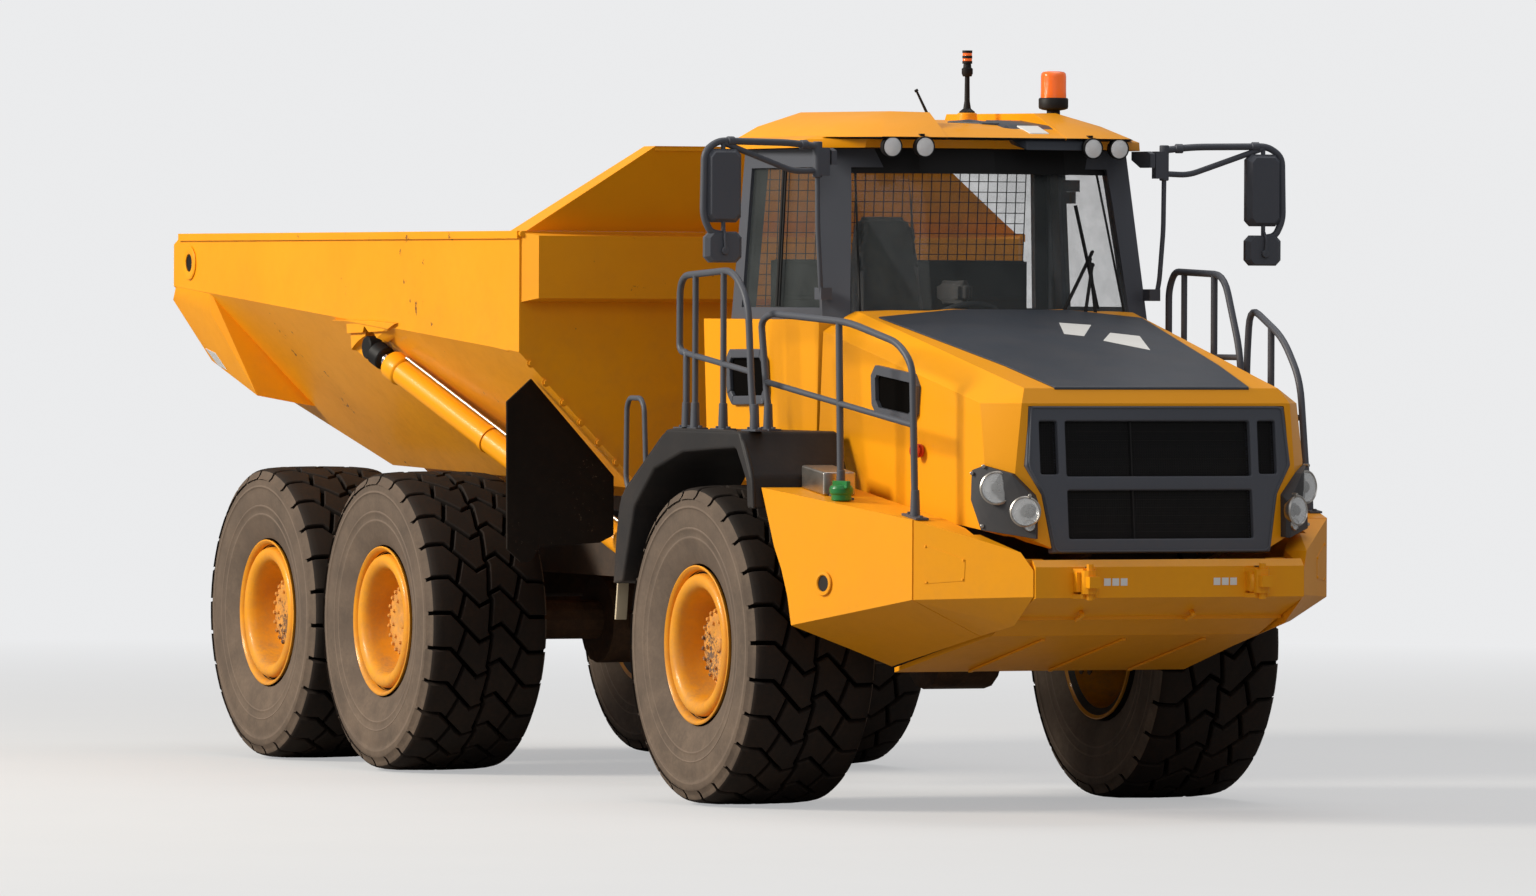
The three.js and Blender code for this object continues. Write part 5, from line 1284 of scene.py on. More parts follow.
@dataclass
class Padding:
    """A stuffed pad, given as the solid that it starts from."""

    name: str
    points: list[Point]
    fill: float = 0.7
    voxel: float = 0.006
    cap: float = 0.012

    def build(self, body: str, *replaced: str) -> None:
        """Makes the pad, swells it and settles it."""
        shape = Shape().hull(self.points)
        bmesh.ops.bevel(shape.bm, geom=shape.bm.edges[:], offset=0.028, segments=3, affect="EDGES")
        piece = shape.to_object(self.name, looks(Finish.CLOTH))
        self.swell(piece)
        piece.data.shade_smooth()
        piece.modifiers.new("smooth", "SUBSURF").levels = 1
        piece.modifiers["smooth"].render_levels = 1
        settle(piece, body, "seat_cloth", *replaced)

    def swell(self, piece: Object) -> None:
        """Remeshes the pad and blows it up a little as cloth."""
        scene = bpy.context.scene
        remesh = piece.modifiers.new("even", "REMESH")
        remesh.mode, remesh.voxel_size = "VOXEL", self.voxel
        self.keep(piece)
        rest = [v.co.copy() for v in piece.data.vertices]
        cloth = piece.modifiers.new("plump", "CLOTH")
        cloth.settings.use_pressure = True
        cloth.settings.uniform_pressure_force = 4.0
        cloth.settings.effector_weights.gravity = 0.0
        for step in range(1, 21):
            scene.frame_set(step)
        self.keep(piece)
        scene.frame_set(1)
        for v, start in zip(piece.data.vertices, rest):
            move = v.co - start
            if move.length > self.cap:
                v.co = start + move.normalized() * self.cap

    @staticmethod
    def keep(piece: Object) -> None:
        """Turns a piece's modifiers into its mesh."""
        graph = bpy.context.evaluated_depsgraph_get()
        mesh = bpy.data.meshes.new_from_object(piece.evaluated_get(graph), depsgraph=graph)
        piece.modifiers.clear()
        piece.data = mesh


@dataclass
class Cab:
    """The cab: shell, roof, lamps, mirrors, glass and what is inside."""

    sill: float = 2.44
    roof: float = 3.3
    lamps: tuple[tuple[float, float], ...] = ((0.582, 0.63), (0.618, 0.467))
    lamp_height: float = 3.306
    beacon: Point = (0.12, 0.487, 3.4783)
    stalk: Point = (-0.15, 0.13, 3.4923)
    aerial: tuple[Point, Point] = ((-0.3, -0.02, 3.462), (-0.325, -0.07, 3.6))
    pod: tuple[Point, ...] = ((-0.7, 0.55, 0.195), (-0.72, 0.28, 0.195), (0.2, 0.46, 0.19), (0.3, 0.29, 0.185),
        (-0.74, 0.775, 0.12), (0.16, 0.735, 0.125), (0.4, 0.62, 0.118), (0.49, 0.36, 0.108), (0.605, 0.69, 0.056),
        (0.605, 0.33, 0.056), (0.59, 0.69, 0.046), (0.59, 0.33, 0.046), (0.28, 0.86, 0.056), (-0.82, 0.86, 0.056),
        (-0.82, 0.28, 0.056))
    eave: tuple[Point, ...] = ((-0.86, 0.908, 0.002), (0.2, 0.938, 0.002), (0.42, 0.7, 0.002), (0.44, 0.0, 0.002),
        (-0.86, 0.0, 0.002), (-0.86, 0.905, 0.05), (0.2, 0.935, 0.045), (0.44, 0.7, 0.045), (0.46, 0.0, 0.045),
        (-0.84, 0.86, 0.064), (0.22, 0.87, 0.062), (-0.84, 0.0, 0.064))
    centre: tuple[Point, ...] = ((0.59, 0.33, 0.046), (0.6, 0.33, 0.056), (0.5, 0.33, 0.1), (0.28, 0.33, 0.13),
        (-0.7, 0.33, 0.165), (-0.84, 0.33, 0.08), (-0.84, 0.33, 0.05))
    mirror_x: float = 0.472
    mirror_y: float = 1.502
    ring: Point = (0.06, 0.0, 2.4)
    seat: tuple[float, float] = (-0.09, -0.16)

    def build(self) -> None:
        """Makes all of it."""
        self.shell()
        self.top()
        self.lights()
        self.wipers()
        both_sides(self.mirror)
        self.inside()
        self.vent()

    def shell(self) -> None:
        """The cab's body, frame, door and glass."""
        settle(softened("cab_base", "cab_body", looks(Finish.YELLOW, Finish.PLASTIC), 0.022,
            lambda f: int(f.normal.dot(Vector((-0.3, 0, 2.2)) - f.calc_center_median()) > 0)), "front_unit",
            "yellow_paint", "cab_base")
        settle(softened("cab_frame", "cab_posts", looks(Finish.CHARCOAL), 0.012), "front_unit", "charcoal_paint",
            "cab_frame")
        settle(softened("cab_door", "door_leaf", looks(Finish.YELLOW, Finish.CHARCOAL), 0.008,
            lambda f: int(f.calc_center_median().z > self.sill - 0.02)), "cab_door", "yellow_paint", "cab_door")
        handle = Shape()
        handle.tube([(-0.42, 0.935, 2.3), (-0.42, 0.978, 2.3), (-0.42, 0.978, 2.42), (-0.42, 0.935, 2.42)], 0.011,
            0.02)
        handle.prism([(-0.5, 2.27), (-0.36, 2.27), (-0.36, 2.45), (-0.5, 2.45)], Plane.SIDE, 0.93, 0.9435)
        settle(handle.to_object("door_handle", looks(Finish.BLACK), 0.002), "cab_door", "dark_plastic")
        for node in ("windscreen", "rear_window", "side_window", "door_window"):
            repaint(node, Finish.GLASS)
        seals = Shape()
        for y0, z0, y1, z1 in ((-0.735, 2.481, -0.672, 3.2), (0.735, 2.481, 0.672, 3.2)):
            seals.rod((0.44, y0, z0), (0.235, y1, z1), 0.006)
        seals.rod((-0.19, -0.905, 2.505), (-0.185, -0.872, 3.2), 0.011)
        seals.rod((-0.166, -0.905, 2.505), (-0.161, -0.872, 3.2), 0.006)
        header = [(0.2, -0.735), (0.39, -0.4), (0.425, 0.0), (0.39, 0.4), (0.2, 0.735)]
        inner = [(x + 0.012, y * 1.01) for x, y in header]
        for (a, b), (c, d) in zip(zip(header, header[1:]), zip(inner, inner[1:])):
            seals.hull([(p[0] + dx, p[1], z) for p in (a, b, c, d) for dx, z in ((0.032, 3.175), (0.006, 3.298))])
        settle(seals.to_object("glass_seals", looks(Finish.BLACK), 0.002), "front_unit", "dark_plastic")
        mesh = lattice("rear_guard_mesh", 1.5, 0.7, 0.052, 0.0042, Finish.BLACK, Matrix.Translation((-0.775, 0, 2.855))
            @ Matrix.Rotation(math.radians(4.6), 4, "Y"))
        settle(mesh, "front_unit", "dark_plastic")

    def top(self) -> None:
        """The roof with its centre cover, seam, ridges and mounts."""
        roof = Shape()
        for side in SIDES.values():
            roof.hull([(x, side * y, self.roof + up) for x, y, up in self.pod])
            roof.hull([(x, side * y, self.roof + up) for x, y, up in self.eave])
        roof.hull([(x, side * y, self.roof + up) for x, y, up in self.centre for side in SIDES.values()])
        for x, y, z in (self.beacon, self.stalk):
            roof.rod((x, y, z - 0.09), (x, y, z), 0.058, 0.05, 36, 0.08)
        for face in roof.bm.faces:
            face.material_index = int(face.normal.z < -0.5)
        settle(roof.to_object("roof_shell", looks(Finish.YELLOW, Finish.BLACK), 0.012, 3), "front_unit",
            "yellow_paint", "cab_roof")
        cover = Shape()
        x, y, z = 0.335, 0.27, 3.37
        cover.hull([(x + a, y + b, z + c) for a, b, c in ((0.265, -0.16, -0.075), (0.265, 0.17, -0.075),
            (0.235, -0.15, -0.005), (0.235, 0.16, -0.005), (0.1, -0.2, 0.052), (0.1, 0.2, 0.052), (-0.2, -0.17, 0.082),
            (-0.2, 0.17, 0.082), (-0.22, -0.2, 0.02), (-0.22, 0.2, 0.02), (0.1, -0.235, 0.02), (0.1, 0.235, 0.02))])
        cover.hull([(0.06, -0.08, 3.42), (0.3, 0.0, 3.4), (0.34, 0.08, 3.4), (0.06, 0.04, 3.43), (0.06, -0.08, 3.446),
            (0.3, 0.0, 3.436), (0.34, 0.08, 3.436), (0.06, 0.04, 3.456)])
        cover.finish = 1
        cover.hull([(x + a, y + b, z + c) for a, b, c in ((0.215, -0.12, 0.012), (0.215, -0.01, 0.012),
            (0.12, -0.15, 0.052), (0.12, -0.03, 0.052), (0.215, -0.12, 0.002), (0.215, -0.01, 0.002),
            (0.12, -0.15, 0.042), (0.12, -0.03, 0.042))])
        settle(cover.to_object("roof_cover", looks(Finish.PANEL_GREY, Finish.WHITE), 0.008), "front_unit",
            "charcoal_paint")
        aerial = Shape()
        foot, tip = self.aerial
        aerial.rod(foot, (foot[0], foot[1], foot[2] + 0.03), 0.018, 0.011)
        aerial.rod((foot[0], foot[1], foot[2] + 0.02), tip, 0.0075, 0.006, 16)
        aerial.rod(tip, (tip[0] - 0.003, tip[1] - 0.006, tip[2] + 0.012), 0.01)
        settle(aerial.to_object("stub_aerial", looks(Finish.BLACK)), "front_unit", "dark_plastic")

    def lights(self) -> None:
        """The four work lamps, the beacon and the stalk light."""
        shape = Shape()
        for side in SIDES.values():
            for x, y in self.lamps:
                at, way = (x, side * y, self.lamp_height), Vector((1, 0, -0.05)).normalized()
                shape.finish = 0
                shape.lathe([(0, -0.06), (0.036, -0.06), (0.05, -0.03), (0.0535, 0.004), (0.0535, 0.013),
                    (0.047, 0.014), (0.047, 0.004), (0, 0.004)], at, way, 36)
                shape.finish = 1
                shape.lathe([(0, 0.0045), (0.012, 0.0045), (0.03, 0.006), (0.0465, 0.0105), (0.0465, 0.012),
                    (0.03, 0.0145), (0, 0.0165)], at, way, 36)
                shape.finish = 0
                shape.box((x - 0.05, side * y - 0.012, 3.352), (x - 0.02, side * y + 0.012, 3.372))
        settle(shape.to_object("work_lamps", looks(Finish.BLACK, Finish.LAMP)), "front_unit", "dark_plastic")
        x, y, z = self.beacon
        beacon = Shape()
        up = Vector((0, 0, 1))
        beacon.finish = 1
        beacon.lathe([(0, 0), (0.034, 0), (0.034, 0.026), (0.058, 0.03), (0.073, 0.036), (0.0755, 0.046),
            (0.0755, 0.084), (0.071, 0.09), (0, 0.09)], (x, y, z), up, 40)
        beacon.finish = 0
        beacon.lathe([(0, 0.088), (0.064, 0.088), (0.0655, 0.094), (0.0645, 0.13), (0.0645, 0.2), (0.062, 0.214),
            (0.054, 0.222), (0.03, 0.2255), (0, 0.226)], (x, y, z), up, 40)
        settle(beacon.to_object("beacon_lamp", looks(Finish.AMBER, Finish.BLACK)), "front_unit", "amber_lens",
            "beacon")
        x, y, z = self.stalk
        stalk = Shape()
        stalk.lathe([(0, 0), (0.04, 0), (0.04, 0.006), (0.02, 0.022), (0.014, 0.06), (0.0125, 0.18), (0.0125, 0.2),
            (0, 0.2)], (x, y, z), up, 28)
        stalk.lathe([(0, 0.185), (0.022, 0.185), (0.0285, 0.2), (0.0285, 0.225), (0.021, 0.23), (0.019, 0.255),
            (0, 0.255)], (x, y, z), up, 28)
        for k, finish in enumerate((0, 1, 0, 1, 0)):
            stalk.finish = finish
            stalk.lathe([(0, 0.25), (0.0255 - 0.0015 * (k % 2), 0.25), (0.0255 - 0.0015 * (k % 2), 0.2635),
                (0, 0.2635)], (x, y, z + 0.0135 * k), up, 28)
        settle(stalk.to_object("stalk_lamp", looks(Finish.BLACK, Finish.AMBER)), "front_unit", "dark_plastic",
            "stalk_light")

    def screen(self, y: float, z: float, off: float) -> Point:
        """A point off the windscreen's outside."""
        share = (z - self.sill) / (self.roof - self.sill)
        low = 0.64 - 0.111 * max(0.0, abs(y) - 0.06) if abs(y) < 0.42 else 0.6 - 0.513 * (abs(y) - 0.42)
        high = 0.42 - 0.106 * max(0.0, abs(y) - 0.06) if abs(y) < 0.39 else 0.385 - 0.522 * (abs(y) - 0.39)
        return (low + (high - low) * share + off, y, z)

    def wipers(self) -> None:
        """Two parked wipers on the windscreen."""
        shape = Shape()
        for foot, knee, low, high in (((0.42, 2.462), (0.52, 2.72), (0.3, 2.475), (0.545, 2.79)),
                ((0.5, 2.462), (0.505, 2.75), (0.535, 2.5), (0.455, 3.02))):
            shape.rod(self.screen(*foot, 0.012), self.screen(*foot, 0.05), 0.02)
            shape.tube([self.screen(*foot, 0.044), self.screen(*knee, 0.04)], 0.009, 0.02, 10)
            shape.tube([self.screen(*low, 0.026), self.screen(*high, 0.026)], 0.008, 0.02, 10)
            shape.tube([self.screen(*low, 0.014), self.screen(*high, 0.014)], 0.006, 0.02, 8)
            shape.rod(self.screen(*knee, 0.024), self.screen(*knee, 0.046), 0.012)
        settle(shape.to_object("wipers", looks(Finish.BLACK)), "front_unit", "dark_plastic")

    def mirror(self, name: str, side: int) -> None:
        """A mirror pair on its double arm."""
        x, y = self.mirror_x, self.mirror_y
        shape = Shape()
        clamp = [(0.335, 3.215), (0.455, 3.215), (0.455, 3.285), (0.41, 3.298), (0.235, 3.298), (0.235, 3.255)]
        shape.prism(clamp, Plane.SIDE, side * 0.872, side * 0.9)
        shape.box((0.4, side * 0.935 - 0.028, 3.16), (0.448, side * 0.935 + 0.028, 3.298))
        shape.rod((0.424, side * 0.965, 3.15), (0.424, side * 0.965, 3.33), 0.024)
        arm = [(0.424, 0.965, 3.305), (0.44, 1.12, 3.322), (0.47, 1.53, 3.328), (0.476, 1.606, 3.275),
            (0.476, 1.612, 2.955), (0.474, 1.572, 2.872), (0.474, 1.502, 2.862)]
        shape.tube(sided(arm, side), 0.0175, 0.07, 16)
        shape.tube(sided([(0.424, 0.965, 3.185), (0.432, 1.1, 3.18), (0.47, 1.5, 3.318)], side), 0.015, 0.05, 14)
        for at in ((0.432, 1.045, 3.3135), (0.466, 1.46, 3.3265)):
            shape.rod((at[0] - 0.004, side * (at[1] - 0.02), at[2]), (at[0] + 0.004, side * (at[1] + 0.02), at[2]),
                0.024)
        shape.tube(sided([(0.47, 1.502, 3.325), (0.472, 1.502, 3.28)], side), 0.012)
        shape.tube(sided([(0.405, 0.932, 2.56), (0.418, 0.944, 2.64), (0.424, 0.962, 2.9), (0.424, 0.965, 3.16)],
            side), 0.0125, 0.05)
        shape.box((0.35, side * 0.915 - 0.03, 2.54), (0.43, side * 0.915 + 0.03, 2.6))
        for low, high, half, deep in ((2.922, 3.288, 0.095, 0.07), (2.722, 2.876, 0.1, 0.052)):
            body = bmesh.new()
            rim = 0.028
            for a, b in ((-half, low + rim), (-half, high - rim), (-half + rim, high), (half - rim, high),
                    (half, high - rim), (half, low + rim), (half - rim, low), (-half + rim, low)):
                body.verts.new((x - deep * 0.38, side * y + a, b))
                body.verts.new((x + deep * 0.1, side * y + a, b))
                body.verts.new((x + deep * 0.48, side * y + a * 0.78, (low + high) / 2 + (b - (low + high) / 2) * 0.9))
            bmesh.ops.convex_hull(body, input=body.verts)
            bmesh.ops.delete(body, geom=[v for v in body.verts if not v.link_faces], context="VERTS")
            bmesh.ops.dissolve_limit(body, angle_limit=0.02, verts=body.verts, edges=body.edges)
            shape.finish = 0
            shape.absorb(body)
            shape.finish = 1
            shape.box((x - deep * 0.38 - 0.003, side * y - half + 0.014, low + 0.016),
                (x - deep * 0.38 + 0.001, side * y + half - 0.014, high - 0.016))
        shape.finish = 0
        shape.rod((0.476, side * y, 2.85), (0.476, side * y, 2.93), 0.011)
        shape.rod((0.47, side * y, 2.782), (0.512, side * y, 2.782), 0.02)
        shape.tube([(0.506, side * y, 2.785), (0.506, side * (y + 0.004), 2.86), (0.478, side * y, 2.9)], 0.008, 0.03)
        settle(shape.to_object(f"mirrors_{name}", looks(Finish.CHARCOAL, Finish.MIRROR), 0.009, 3), "front_unit",
            "charcoal_paint", f"mirror_{name}")

    def inside(self) -> None:
        """The seat, the dash and the steering wheel."""
        x, y = self.seat
        Padding("seat_cushion", [(x + a, y + b, z) for a in (-0.345, 0.105) for b in (-0.235, 0.235)
            for z in (2.035, 2.125)] + [(x - 0.04, y + b, 2.133) for b in (-0.2, 0.2)]).build("front_unit",
            "operator_seat")
        Padding("seat_back", [(x + a, y + b * side, z) for a, b, z in ((-0.385, 0.22, 2.14), (-0.285, 0.205, 2.14),
            (-0.48, 0.195, 2.8), (-0.395, 0.185, 2.8), (-0.39, 0.225, 2.45), (-0.5, 0.15, 2.975), (-0.42, 0.14, 2.975))
            for side in SIDES.values()]).build("front_unit")
        Padding("seat_armrest", [(x + a, y + b, z) for a in (-0.36, -0.04) for b in (0.25, 0.33)
            for z in (2.52, 2.64)]).build("front_unit")
        base = Shape()
        base.hull([(x + a, y + b * side, z) for a, b, z in ((-0.26, 0.17, 1.645), (0.02, 0.17, 1.645),
            (-0.3, 0.2, 2.02), (0.06, 0.2, 2.02)) for side in SIDES.values()])
        base.tube([(x - 0.36, y - 0.285, 2.2), (x - 0.36, y - 0.285, 2.33), (x - 0.02, y - 0.285, 2.36)], 0.026, 0.06)
        for side in SIDES.values():
            base.rod((x - 0.34, y + side * 0.2, 2.2), (x - 0.34, y + side * 0.3, 2.2), 0.018)
        for z in (2.56, 2.745):
            base.box((-0.682, -0.7, z - 0.02), (-0.664, 0.7, z))
        base.box((-0.686, -0.72, 2.49), (-0.67, 0.72, 2.74))
        settle(base.to_object("seat_base", looks(Finish.PLASTIC), 0.01), "front_unit", "dark_plastic")
        dash = Shape()
        dash.hull([(x, side * y, z) for x, y, z in ((0.2, 0.64, 2.08), (0.27, 0.64, 2.34), (0.42, 0.38, 2.34),
            (0.33, 0.38, 2.08), (0.16, 0.64, 2.2)) for side in (-1, 1)])
        dash.box((0.09, -0.11, 1.645), (0.23, 0.11, 2.2))
        dash.rod((0.25, 0, 2.15), (0.06, 0, 2.39), 0.034)
        ring = [(0.205 + 0.0165 * math.cos(math.tau * k / 12), 0.0165 * math.sin(math.tau * k / 12))
            for k in range(12)]
        dash.lathe(ring + [ring[0]], self.ring, Vector((-0.58, 0, 0.81)).normalized(), 48)
        dash.rod((0.06, -0.195, 2.4), (0.06, 0.195, 2.4), 0.013)
        dash.rod((0.08, 0, 2.375), (0.045, 0, 2.42), 0.042)
        dash.hull([(0.3, y, z) for y in (0.16, 0.36) for z in (2.34, 2.49)] + [(0.33, y, z) for y in (0.16, 0.36)
            for z in (2.34, 2.48)])
        settle(dash.to_object("dash_desk", looks(Finish.PLASTIC), 0.008), "front_unit", "dark_plastic", "dash_console")

    def vent(self) -> None:
        """The air vent behind the cab's right side."""
        framed_vent("cab_vent", "cab_base", [(-0.735, 2.285), (-0.25, 2.29), (-0.235, 2.01), (-0.72, 2.0)], (0, -1, 0),
            "front_unit")


def chamfered(outline: Outline, cut: float) -> list[tuple[float, float]]:
    """A flat outline with every corner cut off, at a distance from it."""
    points = [Vector(p) for p in outline]
    corners = []
    for before, corner, after in zip([points[-1], *points[:-1]], points, [*points[1:], points[0]]):
        corners += [tuple(corner + (end - corner).normalized() * cut) for end in (before, after)]
    return corners


def framed_vent(name: str, node: str, outline: Outline, facing: Point, body: str) -> None:
    """A vent with a raised grey frame round a near-black sheet, which is painted shade in place of its opening.

    Args:
        name: start of the pieces' names.
        node: the frame node that it lies on.
        outline: its outer corners, seen from the side.
        facing: the side that it is seen from.
        body: the body that it moves with.
    """
    outline = chamfered(outline, 0.055)
    count = len(outline)
    inner = inset(outline, 0.046)
    rim = Shape()
    for i in range(count):
        j = (i + 1) % count
        bar = patch(node, facing, Plane.SIDE, [outline[i], outline[j], inner[j], inner[i]], 0.024)
        rim.absorb(bar.bm)
    settle(rim.to_object(f"{name}_frame", looks(Finish.CHARCOAL), 0.007, 3), body, "charcoal_paint")
    # A thin near-black sheet inside the frame: painted shade for the vent's opening.
    shade_sheet = patch(node, facing, Plane.SIDE, inset(outline, 0.04), 0.003)
    settle(shade_sheet.to_object(f"{name}_hollow", looks(Finish.PAINTED_SHADE_BLACK)), body, "dark_plastic")


@dataclass
class Hood:
    """The tilting hood with its grille and lamps."""

    panel: Outline = ((2.262, -0.535), (2.262, 0.535), (1.2, 0.665), (0.655, 0.735), (0.655, -0.735), (1.2, -0.665))
    stripes: tuple[Outline, ...] = (((0.938, 0.131), (0.983, 0.287), (1.219, 0.134), (1.173, 0.046)),
        ((1.147, 0.313), (1.215, 0.443), (1.506, 0.359), (1.311, 0.195)))
    vent: Outline = ((0.955, 2.222), (1.478, 2.172), (1.456, 1.925), (0.98, 1.968))
    windows: tuple[tuple[float, float, float, float], ...] = ((-0.5, 0.5, 1.69, 1.96), (-0.5, 0.5, 1.385, 1.622),
        (0.545, 0.64, 1.7, 1.96), (-0.64, -0.545, 1.7, 1.96))
    lamps: tuple[tuple[Point, float], ...] = (((2.256, 0.835, 1.63), 0.074), ((2.365, 0.732, 1.517), 0.068),
        ((2.381, 0.717, 1.45), 0.027))

    def build(self) -> None:
        """Makes all of it."""
        settle(softened("hood", "hood_shell", looks(Finish.YELLOW), 0.014), "hood", "yellow_paint", "hood")
        plate = patch("hood", (0.15, 0, 1), Plane.TOP, self.panel, 0.008)
        settle(plate.to_object("hood_panel", looks(Finish.PANEL_GREY), 0.003), "hood", "charcoal_paint")
        for k, outline in enumerate(self.stripes):
            stripe = patch("hood", (0.15, 0, 1), Plane.TOP, outline, 0.0012, 0.0078)
            settle(stripe.to_object(f"hood_stripe_{k}", looks(Finish.WHITE)), "hood", "yellow_paint")
        framed_vent("hood_vent", "hood", self.vent, (0.05, -1, 0), "hood")
        self.front()
        both_sides(self.headlamp)
        button = Shape()
        spot, way = Vector((1.5, -0.892, 1.8)), Vector((0.15, -1, 0)).normalized()
        button.lathe([(0, 0.0), (0.034, 0.0), (0.034, 0.012), (0.02, 0.014), (0.02, 0.024), (0.036, 0.028),
            (0.038, 0.036), (0.03, 0.045), (0, 0.048)], spot, way, 32)
        settle(button.to_object("stop_button", looks(Finish.RED)), "hood", "yellow_paint")

    def leaned(self) -> Matrix:
        """The grille's own plane, as a move from upright at x = 0."""
        return (Matrix.Translation((2.392, 0, 1.316)) @ Matrix.Rotation(-0.1, 4, "Y")
            @ Matrix.Translation((0, 0, -1.316)))

    def front(self) -> None:
        """The grille's frame, its screens and what shows behind them, with painted shade on the windows' bottoms."""
        lean = self.leaned()
        back = lean.inverted()

        def deep(face: BMFace) -> int:
            """Picks black for the bottoms of the grille's windows: painted shade behind the screens."""
            return int((back @ face.calc_center_median()).x < -0.03 and face.normal.x > 0.5
                and 1.35 < face.calc_center_median().z)

        settle(softened("grille", "grille_frame", looks(Finish.CHARCOAL, Finish.BLACK), 0.009, deep), "hood",
            "charcoal_paint", "grille")
        for k, (y0, y1, z0, z1) in enumerate(self.windows):
            centre = Matrix.Translation((-0.034, (y0 + y1) / 2, (z0 + z1) / 2))
            mesh = lattice(f"grille_screen_{k}", y1 - y0 - 0.004, z1 - z0 - 0.004, 0.0125, 0.0042, Finish.BLACK, lean
                @ centre)
            settle(mesh, "hood", "dark_plastic")
        ribs = Shape()
        for y0, y1, z0, z1 in self.windows[:2]:
            ribs.box((-0.046, y0 + 0.356, z0), (-0.024, y0 + 0.364, z1))
            for z in (z0 + (z1 - z0) * k / 6 for k in range(1, 6)):
                ribs.box((-0.048, y0, z - 0.0035), (-0.037, y1, z + 0.0035))
        ribs.bent(lean)
        settle(ribs.to_object("grille_ribs", looks(Finish.BLACK)), "hood", "dark_plastic")
        lip = Shape()
        edge = [(-0.694, 2.033), (-0.719, 1.743), (-0.64, 1.6), (-0.59, 1.316)]
        edge = edge + [(-y, z) for y, z in reversed(edge)]
        ring = [Vector((-0.0035, y * 0.978, 1.675 + (z - 1.675) * 0.978)) for y, z in edge]
        lip.tube([lean @ p for p in ring + ring[:1]], 0.006, 0.03, 8)
        settle(lip.to_object("grille_bead", looks(Finish.CHARCOAL)), "hood", "charcoal_paint")

    def headlamp(self, name: str, side: int) -> None:
        """A lamp pod with two headlamps and a marker."""
        settle(softened(f"headlamp_{name}", f"lamp_pod_{name}", looks(Finish.PLASTIC), 0.01), "hood", "charcoal_paint",
            f"headlamp_{name}")
        shape = Shape()
        for (x, y, z), radius in self.lamps:
            way = Vector((0.9, side * 0.43, 0.03)).normalized()
            at = Vector((x, side * y, z)) + way * (0.014 if radius > 0.05 else 0.003)
            shape.finish = 0
            shape.lathe([(radius, -0.03), (radius * 1.12, -0.01), (radius * 1.12, 0.006), (radius * 1.02, 0.012),
                (radius * 0.97, 0.008), (radius * 0.95, -0.03), (radius, -0.03)], at, way, 40)
            shape.finish = 1
            shape.lathe([(0, -0.016), (radius * 0.28, -0.014), (radius * 0.6, -0.006), (radius * 0.965, 0.004),
                (radius * 0.965, -0.028), (0, -0.028)], at, way, 40)
            shape.finish = 2
            shape.lathe([(0, -0.013), (radius * 0.34, -0.012), (radius * 0.38, 0.0), (radius * 0.3, 0.006), (0, 0.01)],
                at, way, 32)
            shape.finish = 3
            shape.lathe([(0, 0.0135), (radius * 0.6, 0.0125), (radius * 0.955, 0.0085), (radius * 0.955, 0.0065),
                (radius * 0.6, 0.0105), (0, 0.0115)], at, way, 40)
        for x, y, z in ((2.135, 0.912, 1.7), (2.205, 0.882, 1.735), (2.395, 0.722, 1.595), (2.2, 0.885, 1.445)):
            shape.finish = 0
            shape.rod((x - 0.02, side * (y - 0.01), z), (x + 0.008, side * (y + 0.004), z), 0.009, None, 12)
        settle(shape.to_object(f"lamp_set_{name}", looks(Finish.STEEL, Finish.LAMP, Finish.BLACK, Finish.LAMP_GLASS)),
            "hood", "charcoal_paint")


